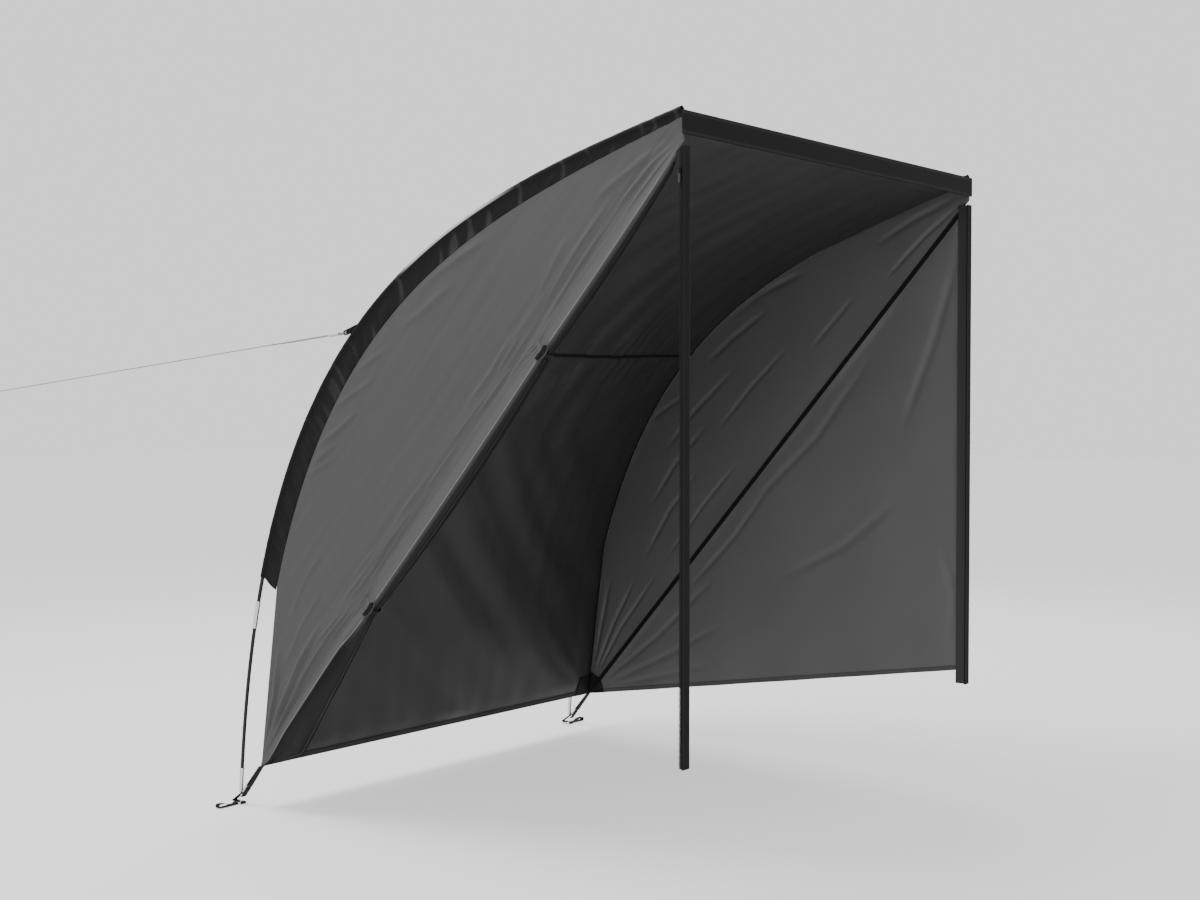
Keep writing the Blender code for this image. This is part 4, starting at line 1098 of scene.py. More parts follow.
# Pieces

GUY_HEIGHT = 1.450          # the guy line's loop, above the ground
GUY_FALL = 5.5              # degrees that the taut line falls
GUY_SLEEVE = 0.008531       # the pole sleeve's corners under the loop
LOOP_REACH = 0.034          # from the sleeve to the middle of the loop's bend
LOOP_BEND = 0.0062
LOOP_WIDTH, LOOP_THICK = 0.009, 0.0016
RUNNER_START, RUNNER_LONG, RUNNER_TRAVEL = 0.024, 0.043, 0.15
TAIL_REACH, LINE_REACH = 0.30, 1.80         # from the loop to the two ends of the line
LINE_RADIUS = 0.0016


class TENT_OT_guy_line(bpy.types.Operator):
    """Run the taut guy line from its webbing loop on the near arch through the runner"""

    bl_idname = "tent.guy_line"
    bl_label = "Guy line"

    def execute(self, context):
        run = run_where(GUY_HEIGHT, lambda distance: along(distance)[0].y)
        point, inward = along(run)
        tangent = Vector((-inward.y, inward.x))
        fall = radians(GUY_FALL)
        away = Vector((-cos(fall), -sin(fall)))
        sleeve = GUY_SLEEVE * cos(pi / 10.0)
        eye = point + away * (sleeve + LOOP_REACH)
        level = degrees(atan2(away.y, away.x)) % 360.0
        foot = sleeve + 1.5 * GAP + 0.45 * LOOP_THICK

        def on_sleeve(aside, lift):
            return point + tangent * aside - inward * (foot + lift)

        path = [on_sleeve(-0.017, 0.0), on_sleeve(-0.015, 0.0003)]
        path += arc(eye, LOOP_BEND, level + 95.0, level - 95.0, 14)
        path += [on_sleeve(0.015, 0.0003), on_sleeve(0.017, 0.0)]
        loop = band([spot(flat, -HALF) for flat in path], Y_AXIS, LOOP_WIDTH, LOOP_THICK)
        webbing = [strap_webbing(0.0045, (0.003,))]
        finish_piece("guy_webbing_loop", loop, webbing, stands_for=["guy_loop"])

        beside_eye = Vector((-away.y, away.x)) * 0.0048
        if beside_eye.dot(tangent) > 0.0:
            beside_eye = -beside_eye
        tip = eye - away * 0.0034
        corners = (path[1] - inward * 0.0003, path[-2] - inward * 0.0003)

        def gusset_place(run, across):
            outer = (tip + beside_eye).lerp(tip - beside_eye, across)
            return spot(outer.lerp(corners[0].lerp(corners[1], across), run), -HALF - 0.0010)

        def gusset_uv(run, across):
            return (across - 0.5) * 0.03 * run, 0.03 * run

        gusset = new_grid(12, 8, gusset_place, gusset_uv, outward=-Y_AXIS)
        finish_piece("guy_loop_gusset", gusset, webbing, wall=0.0014)

        radius = LINE_RADIUS
        strand = LOOP_WIDTH / 2.0 + radius + 1.5 * GAP
        hook = LOOP_BEND - LOOP_THICK / 2.0 - strand

        def on_line(distance, aside):
            return spot(eye + away * (hook + distance), -HALF + aside)

        straight = RUNNER_START + RUNNER_LONG + RUNNER_TRAVEL + 0.010
        beside = -strand + 2.0 * radius + 3.0 * GAP
        tail, main = [], []
        for i in range(15):
            distance = TAIL_REACH + (strand - TAIL_REACH) * i / 14
            drawn = ease((distance - straight) / (TAIL_REACH - straight))
            tail.append(on_line(distance, strand + (beside - strand) * drawn))
        main.append(tail[-1])
        for i in range(1, 9):
            turn = pi * i / 9
            main.append(on_line(strand - strand * sin(turn), strand * cos(turn)))
        past_tail = TAIL_REACH + 0.01
        for i in range(46):
            distance = strand + (LINE_REACH - strand) * i / 45
            drawn = ease((distance - past_tail) / (LINE_REACH - past_tail))
            main.append(on_line(distance, -strand * (1.0 - drawn)))
        tail.reverse()
        cord = known("braided_line", braid, tuple(colours().cord))

        def cord_piece(name, bm, stands_for=()):
            return finish_piece(name, bm, [cord], stands_for=stands_for)

        line = cord_piece("guy_line_main", tube(main, radius, 12), ["guy_line"])
        short = cord_piece("guy_line_tail", tube(tail, radius, 12), ["guy_line"])
        knot = cord_piece("guy_line_end_loop", self.end_loop(main, radius))
        stop = cord_piece("guy_line_stop_knot", self.stop_knot(tail, radius))
        dress_nodes(["guy_slider"], grey_plastic())
        round(path_runs(main)[-1], 3)
        round(path_runs(tail)[-1], 3)
        return {"FINISHED"}

    @staticmethod
    def stop_knot(line, radius):
        """An overhand knot, as a trefoil drawn tight, with a short free end."""
        end, ahead = line[-1], (line[-1] - line[-2]).normalized()
        side = ahead.orthogonal().normalized()
        up = ahead.cross(side)
        path = [end - ahead * 0.001, end + ahead * 0.002]
        for i in range(1, 24):
            turn = 2.0 * pi * i / 24
            reach = radius * (1.15 + 0.55 * cos(1.5 * turn))
            lift = reach * (1.0 - cos(2.0 * turn)) * 0.6
            path.append(end + ahead * (0.003 + 0.0065 * i / 24 + 0.0012 * sin(3.0 * turn))
                        + side * (reach * sin(2.0 * turn)) + up * lift)
        path += [end + ahead * 0.013, end + ahead * 0.022]
        return tube(path, [radius * 0.98] * len(path), 10)

    @staticmethod
    def end_loop(line, radius):
        """The tied eye at the line's far end."""
        end, ahead, side = line[-1], (line[-1] - line[-2]).normalized(), Y_AXIS
        path = [end - ahead * 0.002, end + ahead * 0.006]
        for i in range(1, 20):
            turn = pi * (0.12 + 1.76 * i / 20)
            path.append(end + ahead * (0.024 - 0.018 * cos(turn)) + side * (0.009 * sin(turn)))
        path += [end + ahead * 0.006 + side * -0.0034, end - ahead * 0.012 + side * -0.0034]
        eye = tube(path, radius * 0.98, 10)
        wraps = []
        for i in range(64):
            turn = 2.0 * pi * i / 16
            wraps.append(end + ahead * (-0.008 + 0.0034 * i / 16)
                         + side * (-0.0016 + 0.0044 * cos(turn))
                         + ahead.cross(side) * (0.0034 * sin(turn)))
        return joined(eye, tube(wraps, radius * 0.95, 8))


class TENT_OT_side_panels(bpy.types.Operator):
    """Make the fixed cloth between each arch and its door seam"""

    bl_idname = "tent.side_panels"
    bl_label = "Side panels"

    def execute(self, context):
        sizes = context.scene.tent_sizes
        rows, columns = 300, 150
        crowding = 1.4      # the columns stand closer beside the seam
        rungs = []
        for i in range(rows + 1):
            distance = DOOR_SEAM * i / rows
            foot = CORNER + DIAGONAL * distance
            rungs.append((distance, foot, opposite(distance), roll_join(distance)))
        for side, word in SIDES:
            creases = PANEL_CREASES if side < 0 else FAR_CREASES

            def flat_place(run, across, side=side):
                distance, foot, head, join = rungs[round(run * rows)]
                reach = (head - foot).length
                past = join[0] if side < 0 else 0.0
                inward = -past + (reach + past) * (1.0 - across) ** crowding
                if inward > 0.0 and reach > 1e-6:
                    return distance, inward, reach, foot + (head - foot) * (inward / reach), join
                return distance, inward, reach, foot - DOORWARD * inward, join

            def place(run, across, side=side, creases=creases):
                distance, inward, reach, flat, join = flat_place(run, across)
                held = ease((reach - inward) / 0.03) * ease((DOOR_SEAM - distance) / 0.05)
                free = creases.at(Vector((distance, max(inward, 0.0)))) * sizes.crease_height
                swell = soft_wave(flat.x, flat.y, 0.34, 0.0045)
                swell += soft_wave(flat.x + 9.0, flat.y, 0.12, 0.0012)
                if side < 0:
                    rise = panel_rise(-inward, distance, join)
                    low = ease(distance / 0.05)
                    free += seam_pleats(max(inward, 0.0), distance) * sizes.crease_height
                    out = rise + free * held * ease((inward - flap_lap(distance) + 0.012) / 0.03) * low
                    out += tie_pleats(-inward, distance) * ease((inward + join[0]) / 0.012)
                    out += swell * held * ease((inward - 0.03) / 0.06)
                else:
                    out = (free + swell * ease(inward / 0.06)) * held * ease(inward / 0.012)
                return spot(flat, side * (HALF + out))

            def uv(run, across):
                distance, inward, _, _, _ = flat_place(run, across)
                return inward, distance

            grid = new_grid(rows, columns, place, uv, outward=Y_AXIS * side, tag=lambda r, a: 0.0)
            panel = finish_piece(f"{word}_side_cloth", grid, [outside_cloth(), inside_cloth(True)],
                                 stands_for=[f"{word}_side_panel"],
                                 wall=sizes.cloth_wall)
            outline = [rung[1] for rung in rungs] + [rung[2] for rung in reversed(rungs)]
            wide = max((rung[2] - rung[1]).length for rung in rungs)
            round(shoelace(outline), 4)
        return {"FINISHED"}


class TENT_OT_door_roll(bpy.types.Operator):
    """Roll the near door up along its seam, spread at the hem"""

    bl_idname = "tent.door_roll"
    bl_label = "Rolled door"

    def execute(self, context):
        fold_depth = context.scene.tent_sizes.roll_fold
        start, stop = ROLL_STOPS[0][0], ROLL_STOPS[-1][0]
        rows, columns = 360, 96

        def place(run, across):
            turn = whole_turn(across, columns)
            return self.on_skin(start + (stop - start) * run, turn, fold_depth)

        def uv(run, across):
            width, thick = roll_size(start + (stop - start) * run)
            return across * pi * (width / 2.0 + thick), start + (stop - start) * run

        # The roll's dark tone: full on the hidden inner half, which is the coating, and on the flank and
        # flap, which is painted shade; above the flap the painted shade fades in over 15 mm past the
        # border.
        def coat_and_painted_light(run, across):
            distance = start + (stop - start) * run
            if across > 0.5:
                return 1.0
            middle, width, _ = roll_span(distance)
            q = middle + width / 2.0 * cos(2.0 * pi * across)
            past = q - roll_border(distance)
            soft = 0.66 * (1.0 - flapped(distance)) * ease(1.0 - past / 0.015)
            return ease(past / 0.002) * (0.90 + 0.10 * flapped(distance) - soft)

        roll = new_grid(rows, columns, place, uv, wrap=True, caps=True, tag=coat_and_painted_light)
        finish_piece("near_rolled_door", roll, [outside_cloth()], stands_for=["near_door_roll"],
                     smooth=60.0)

        first, last = 0.10, 2.30        # the dark strip's ends, along the seam

        # A black strip along the roll's door side, put there as painted shade where the roll turns
        # under.
        def tape_place(run, across):
            turn = radians(-26.0 + 66.0 * across)
            return self.on_skin(first + (last - first) * run, turn, fold_depth, 0.0007)

        def tape_uv(run, across):
            return (across - 0.5) * 0.015, first + (last - first) * run

        tape_grid = new_grid(300, 8, tape_place, tape_uv, outward=ACROSS_SEAM)
        finish_piece("near_rolled_door_shade_strip", tape_grid, [binding_tape()],
                     wall=0.0006)

        low_end, high_end = 0.022, 2.296
        levels = [low_end + (high_end - low_end) * i / 440 for i in range(441)]
        lower, upper = 0.036, 0.032     # how far the pale fold stops short of each tie
        stretches = ((0.0, TIES[0] - lower), (TIES[0] + lower, TIES[1] - upper),
                     (TIES[1] + upper, DOOR_SEAM))
        # A thin fold along the roll's border, in the paler grey of a painted highlight.
        highlight_folds = []
        for low, high in stretches:
            path, radii = [], []
            for distance in (level for level in levels if low < level < high):
                from_end = min(distance - low_end, high_end - distance)
                radii.append(0.0004 + 0.0014 * ease(from_end / 0.09))
                q = roll_border(distance) - 0.0010
                out = roll_face(q, distance) - 0.0002
                path.append(roll_spot(distance, q, out))
            highlight_folds.append(tube(path, [radii[0] / 3.0] + radii[1:-1] + [radii[-1] / 3.0], 8))
        finish_piece("near_roll_edge_fold", joined(*highlight_folds), [folded_edge()])
        return {"FINISHED"}

    @staticmethod
    def on_skin(distance, turn, fold_depth, lift=0.0):
        """A point of the roll's skin: turn 0 is its door side, 90 degrees its crest."""
        middle, width, thick = roll_span(distance)
        open_face = flapped(distance)
        q = middle + width / 2.0 * cos(turn)
        outer = 0.0 <= turn <= pi
        if outer:
            out = roll_face(q, distance)
        else:
            out = -thick * abs(sin(turn)) * (1.0 - 0.55 * open_face)
        from_door = degrees(min(abs(turn), 2.0 * pi - turn))
        free = ease((100.0 - from_door) / 56.0) if outer else ease((165.0 - from_door) / 40.0)
        fold = (1.0 + cos(4.0 * turn + 2.4 * distance)) / 2.0
        fine = (1.0 + cos(11.0 * turn - 3.1 * distance + 1.3 * sin(5.0 * distance))) / 2.0
        tie = min(abs(distance - place) for place in TIES)
        pinch = exp(-((tie / 0.055) ** 2))
        pleat = (1.0 + cos(17.0 * turn + 6.0 * sin(9.0 * distance))) / 2.0
        slack = noise.noise(Vector((distance * 9.0, 2.0 * cos(turn), 2.0 * sin(turn))))
        cut = fold_depth * fold * (1.0 - 0.7 * open_face)
        cut = cut + 0.06 * fine + 0.13 * pleat * pinch + 0.06 * slack
        reach = 1.0 - cut * free
        hidden = ease((join_place(distance) - 0.0005 - q) / 0.0025) if outer else 0.0
        q = middle + (q - middle) * reach + lift * cos(turn)
        out = out * reach - 0.0012 * hidden + lift * sin(turn)
        loose, held = 0.34, 0.016       # the flap's edge waves below the one, and past the other
        if distance < loose:
            share = min(max((q - held) / max(width - held, 1e-3), 0.0), 1.0)
            out += 0.0050 * share * sin(8.0 * share + 17.0 * distance) * ease((loose - distance) / 0.2)
        return roll_spot(distance, q, out)


class TENT_OT_ties(bpy.types.Operator):
    """Tie the rolled door at two places, each loop with its toggle"""

    bl_idname = "tent.ties"
    bl_label = "Ties and toggles"

    def execute(self, context):
        for place, word, size in ((TIES[0], "lower", 1.0), (TIES[1], "upper", 0.85)):
            self.tie(place, word, size)
            self.toggle(word)
        return {"FINISHED"}

    @staticmethod
    def tie(place, word, size):
        """The strap round the roll, its end sewn to the panel, and its open loop."""
        join = roll_join(place)
        width, thick = roll_size(place)
        middle = width / 2.0 + GAP
        lift, sewn = 0.0016, 0.034
        path = []
        for i in range(9):
            q = -sewn + (join[0] + sewn) * i / 8
            path.append(roll_spot(place, q, panel_rise(q, place, join) + lift))
        for i in range(1, 25):
            turn = radians(112.0 - 262.0 * i / 24)
            q = middle + (width / 2.0 + lift) * cos(turn)
            path.append(roll_spot(place, q, (thick + lift) * sin(turn)))
        path += [roll_spot(place, -0.006, -0.0028), roll_spot(place, -0.020, -0.0026)]
        # Past the crest the strap takes the roll's dark tone: painted shade where it wraps round the
        # roll's underside.
        strap = band(path, ALONG_SEAM, 0.014, 0.0012,
                     tag=lambda run, across: ease((run * (len(path) - 1) - 10.0) / 2.0))
        ring = []
        for i in range(41):
            turn = 2.0 * pi * i / 40
            run = 0.031 * size * cos(turn)
            q = middle + 0.0088 * sin(turn) * (0.55 + 0.45 * abs(sin(turn)))
            share = min(abs(q - middle) / (width / 2.0), 1.0)
            ring.append(roll_spot(place + run, q, thick * sqrt(1.0 - share * share) + 0.0024))
        rim = tube(ring, 0.0016, 8, closed=True)
        finish_piece(f"{word}_roll_tie", joined(strap, rim), [outside_cloth()],
                     stands_for=[f"{word}_tie"])

    @staticmethod
    def toggle(word):
        low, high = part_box(f"{word}_toggle")
        centre = (Vector(low) + Vector(high)) / 2.0
        bm = bmesh.new()
        outline = ((0.0, 0.024), (0.0030, 0.024), (0.0046, 0.0232), (0.0055, 0.021), (0.0052, 0.012),
                   (0.0042, 0.0045), (0.0042, 0.0))
        half = [Vector((radius, 0.0, run)) for radius, run in outline]
        points = half + [Vector((p.x, 0.0, -p.z)) for p in reversed(half[:-1])]
        verts = [bm.verts.new(p) for p in points]
        edges = [bm.edges.new(pair) for pair in zip(verts, verts[1:])]
        bmesh.ops.spin(bm, geom=verts + edges, cent=(0.0, 0.0, 0.0), axis=(0.0, 0.0, 1.0),
                       angle=2.0 * pi, steps=20, use_merge=True)
        bmesh.ops.remove_doubles(bm, verts=bm.verts, dist=1e-6)
        bmesh.ops.recalc_face_normals(bm, faces=bm.faces)
        turn = ALONG_SEAM.to_track_quat("Z", "Y").to_matrix().to_4x4()
        bmesh.ops.transform(bm, matrix=Matrix.Translation(centre) @ turn, verts=bm.verts)
        finish_piece(f"{word}_tie_toggle", bm, [black_plastic()], body=f"{word}_toggle_body",
                     stands_for=[f"{word}_toggle"])


def shell_out(run, y, point):
    """How far the outer cloth lies inside the line between the arches."""
    rise = (point.y - CORNER.y) / (HEIGHT - CORNER.y)
    taper = max(0.0, sin(pi * min(1.0, rise)))
    across = max(0.0, 1.0 - (y / CLOTH_HALF) ** 2)
    away = CLOTH_HALF - abs(y)
    angle = atan2(point.y - CORNER.y, max(away, 1e-6))
    near_corner = max(0.0, 1.0 - hypot(away, point.y - CORNER.y) / 0.62)
    fold = 0.0130 * sin(11.0 * angle) * near_corner * sqrt(across)
    held = ease(away / 0.05) * ease((run - CORNER_RUN) / 0.06) * ease((CLOTH_END - run) / 0.06)
    below = CROSS_SEAM - run
    gather = 0.0065 * noise.noise(Vector((y / 0.026, run / 0.9, 1.0))) * exp(-abs(below) / 0.14)
    gather *= ease(abs(below) / 0.02)
    low = ease((below + 0.1) / 0.5)
    upright = (0.0075 - 0.0040 * low) * noise.noise(Vector((y / 0.075, run / 0.8, 5.0)))
    lean = 0.5 + 0.45 * low
    leaning = Vector(((y + lean * run) / 0.15, (run - lean * y) / 0.9, 9.0))
    upright += (0.0070 + 0.0040 * low) * noise.noise(leaning)
    upright *= 1.0 - 0.8 * exp(-((below / 0.06) ** 2))
    swell = soft_wave(y, run, 0.42, 0.0090) + soft_wave(y + 4.0, run, 0.13, 0.0022)
    sag = 0.022 * across * taper
    return sag + max(0.0, fold) * taper ** 0.5 + (gather + upright + swell + 0.009) * held


def rounded_level(run):
    """The outer cloth's line between the arches, where it bends evenly past the sleeves' lower ends."""
    reach = min(0.20, run - CORNER_RUN, CLOTH_END - run)
    if reach < 0.002:
        return edge(run)
    taken = [edge(run + reach * step / 6.0) for step in range(-6, 7)]
    return (sum((point for point, _ in taken), Vector((0.0, 0.0))) / len(taken),
            sum((inward for _, inward in taken), Vector((0.0, 0.0))).normalized())


def shell_grid(start, stop, rows, columns, depth, left=-CLOTH_HALF, right=CLOTH_HALF):
    """Outer cloth between two runs, at a depth inside its outer face."""
    levels = [edge(start + (stop - start) * i / rows) for i in range(rows + 1)]
    rounded = [rounded_level(start + (stop - start) * i / rows) for i in range(rows + 1)]

    def place(run, across):
        index = round(run * rows)
        y = left + (right - left) * across
        share = ease((CLOTH_HALF - abs(y)) / 0.16)
        point = levels[index][0].lerp(rounded[index][0], share)
        inward = levels[index][1].lerp(rounded[index][1], share).normalized()
        flat = point + inward * (shell_out(start + (stop - start) * run, y, point) + depth)
        return spot(flat, y)

    def uv(run, across):
        return left + (right - left) * across, start + (stop - start) * run

    return new_grid(rows, columns, place, uv, outward=Vector((-1.0, 0.0, 0.6)), tag=lambda r, a: 0.0)


class TENT_OT_shell(bpy.types.Operator):
    """Make the outer wall and the roof, the taped seam between them and the bound hem"""

    bl_idname = "tent.shell"
    bl_label = "Outer wall and roof"

    def execute(self, context):
        sizes = context.scene.tent_sizes
        wall = sizes.cloth_wall
        finishes = [outside_cloth(), inside_cloth()]
        cuts = (("outer_wall_cloth", "outer_wall_panel", CORNER_RUN, CROSS_SEAM - GAP / 2.0, 150),
                ("roof_cloth", "roof_panel", CROSS_SEAM + GAP / 2.0, CLOTH_END, 130))
        for name, node, start, stop, rows in cuts:
            grid = shell_grid(start, stop, rows, 130, 0.0)
            cloth_piece = finish_piece(name, grid, finishes, stands_for=[node],
                                       wall=wall)
            round(stop - start, 3)
        tape_half = 0.0065
        seam = shell_grid(CROSS_SEAM - tape_half, CROSS_SEAM + tape_half, 6, 130, wall + 0.0012)
        finish_piece("cross_seam_cover", seam, [binding_tape()], stands_for=["cross_seam_tape"],
                     wall=0.0006)
        for name, depth, finish in (("outer_wall_hem_outside", -0.0009, outer_hem_cloth()),
                                    ("outer_wall_hem_inside", wall + 0.0008, hem_cloth())):
            hem = shell_grid(CORNER_RUN, CORNER_RUN + HEM_WIDTH, 5, 130, depth)
            self.centre_chart(hem, CORNER_RUN + HEM_WIDTH / 2.0, turned=True)
            finish_piece(name, hem, [finish], wall=0.0006)
        for side, word in SIDES:
            left, right = sorted((side * CLOTH_HALF, side * (CLOTH_HALF - PATCH_LENGTH)))
            patch = shell_grid(CORNER_RUN, CORNER_RUN + 0.075, 16, 16, wall + 0.0016, left, right)
            finish_piece(f"{word}_wall_corner_patch", patch, [binding_tape()],
                         wall=0.0008)
            left, right = sorted((side * CLOTH_HALF, side * (CLOTH_HALF - SEAM_TAPE)))
            seam = shell_grid(CORNER_RUN + 0.02, CLOTH_END - 0.002, 200, 3, wall + 0.0008, left, right)
            self.centre_chart(seam, (left + right) / 2.0)
            finish_piece(f"{word}_arch_seam_tape", seam, [binding_tape()], wall=0.0005)
        return {"FINISHED"}

    @staticmethod
    def centre_chart(bm, middle, turned=False):
        """Measures a tape's chart from its middle line, which runs across the cloth where turned."""
        chart = bm.loops.layers.uv.active
        for face in bm.faces:
            for loop in face.loops:
                across, run = loop[chart].uv
                loop[chart].uv = (run - middle, across) if turned else (across - middle, run)


FAR_DOOR_EDGE = -0.0211     # the far door's zipped edge, in X


def door_swell(flat):
    """The slow swell of the closed door."""
    return soft_wave(flat.x, flat.y, 0.40, 0.0085) + soft_wave(flat.x, flat.y + 7.0, 0.15, 0.0024)


def hem_flutter(flat):
    """How the door's hem waves in and out."""
    return 0.004 * sin(flat.x * 21.0)


class TENT_OT_far_door(bpy.types.Operator):
    """Hang the closed far door from its seam, with bound edges and its half of the zip"""

    bl_idname = "tent.far_door"
    bl_label = "Far door"

    def execute(self, context):
        sizes = context.scene.tent_sizes
        edge_x = FAR_DOOR_EDGE
        hinge = CORNER + DOORWARD * GAP
        top = CORNER + DIAGONAL * ((edge_x - CORNER.x) / DIAGONAL.x) + DOORWARD * GAP
        foot = Vector((edge_x, hem_height(edge_x)))
        rows, columns = 180, 120

        def flat_place(run, across):
            share = 0.004 + 0.996 * run
            return hinge.lerp(top, share).lerp(hinge.lerp(foot, share), across)

        def place(run, across):
            flat = flat_place(run, across)
            seam = flat - CORNER
            distance, down = seam.dot(DIAGONAL), seam.dot(DOORWARD)
            to_zip = edge_x - flat.x
            hem = flat.y - hem_height(flat.x)
            held = ease(down / 0.03) * ease(to_zip / 0.04)
            out = DOOR_CREASES.at(Vector((distance, down))) * sizes.crease_height
            out += door_swell(flat)
            flutter = hem_flutter(flat) * exp(-hem / 0.12)
            return spot(flat, HALF + (out + flutter * ease(-flat.x / 0.2)) * held)

        def uv(run, across):
            flat = flat_place(run, across)
            return flat.x, flat.y

        grid = new_grid(rows, columns, place, uv, outward=Y_AXIS, tag=lambda r, a: 0.0)
        door = finish_piece("far_door_cloth", grid, [outside_cloth(), inside_cloth(True)],
                            body="far_door", stands_for=["far_door_panel"],
                            wall=sizes.cloth_wall)
        area = shoelace([CORNER, top, foot])
        wide = sizes.binding_width
        for number, y in enumerate((HALF + 0.0011, HALF - sizes.cloth_wall - 0.0011)):
            hem = []
            for i in range(81):
                share = 0.02 + 0.98 * i / 80
                flat = CORNER.lerp(foot, share)
                zipped = ease((edge_x - flat.x) / 0.04)
                flutter = hem_flutter(flat) * ease(-flat.x / 0.2) * zipped
                held = ease((flat - CORNER).dot(DOORWARD) / 0.03)
                out = door_swell(flat) * (held * zipped)
                hem.append(spot(flat + Vector((0.0, wide / 2.0 - 0.001)), y + flutter * held + out))
            strip = band(hem, Z_AXIS, wide, 0.0008)
            finish = hem_cloth(True) if number else outer_hem_cloth()
            finish_piece(f"far_door_hem_{number}", strip, [finish], body="far_door")
            middle, rise = edge_x - wide / 2.0 + 0.0005, top.y - 0.012 - foot.y
            side = [spot(Vector((middle, foot.y + rise * i / 60)), y) for i in range(61)]
            strip = band(side, X_AXIS, wide, 0.0008)
            finish_piece(f"far_door_edge_{number}", strip, [binding_tape()], body="far_door")
        # The tape inside laps over the seam. The one outside stops short, so the door can swing out
        places = [CORNER + DIAGONAL * (0.03 + (DOOR_SEAM - 0.05) * i / 70) for i in range(71)]
        for word, y, middle, width, out in (
                ("inside", HALF - sizes.cloth_wall - 0.0012, 0.0022, 0.0076, -0.0010),
                ("outside", HALF + 0.0012, 0.0036, 0.0052, 0.0)):
            path = [spot(flat + DOORWARD * 0.0052, y) for flat in places]
            finish_piece(f"far_door_seam_tape_{word}", band(path, ACROSS_SEAM, 0.008, 0.0008),
                         [strap_webbing(0.004)], body="far_door")
            path = [spot(flat - DOORWARD * middle, y + out) for flat in places]
            finish_piece(f"far_panel_seam_tape_{word}", band(path, ACROSS_SEAM, width, 0.0008),
                         [strap_webbing(0.004)])
        return {"FINISHED"}


TUNNEL_RADIUS = 0.008
TUNNEL_SLIT = 16.0          # degrees to each side of the slit between the two fins
TUNNEL_TURN = 360.0 - 2.0 * TUNNEL_SLIT
SLEEVE_ROOT = TUNNEL_RADIUS * cos(radians(TUNNEL_SLIT))
FIN_SHARE = 0.28            # of the sleeve's columns, in each fin
LEAST_FIN = 0.0099          # the fins reach at least so far from the pole
SLEEVE_FLAT = 0.19          # the sleeve's cloth from seam to seam, laid flat
SLEEVE_HIGHLIGHT_ENDS = (-0.985, -0.530)       # the painted highlight's ends, in X


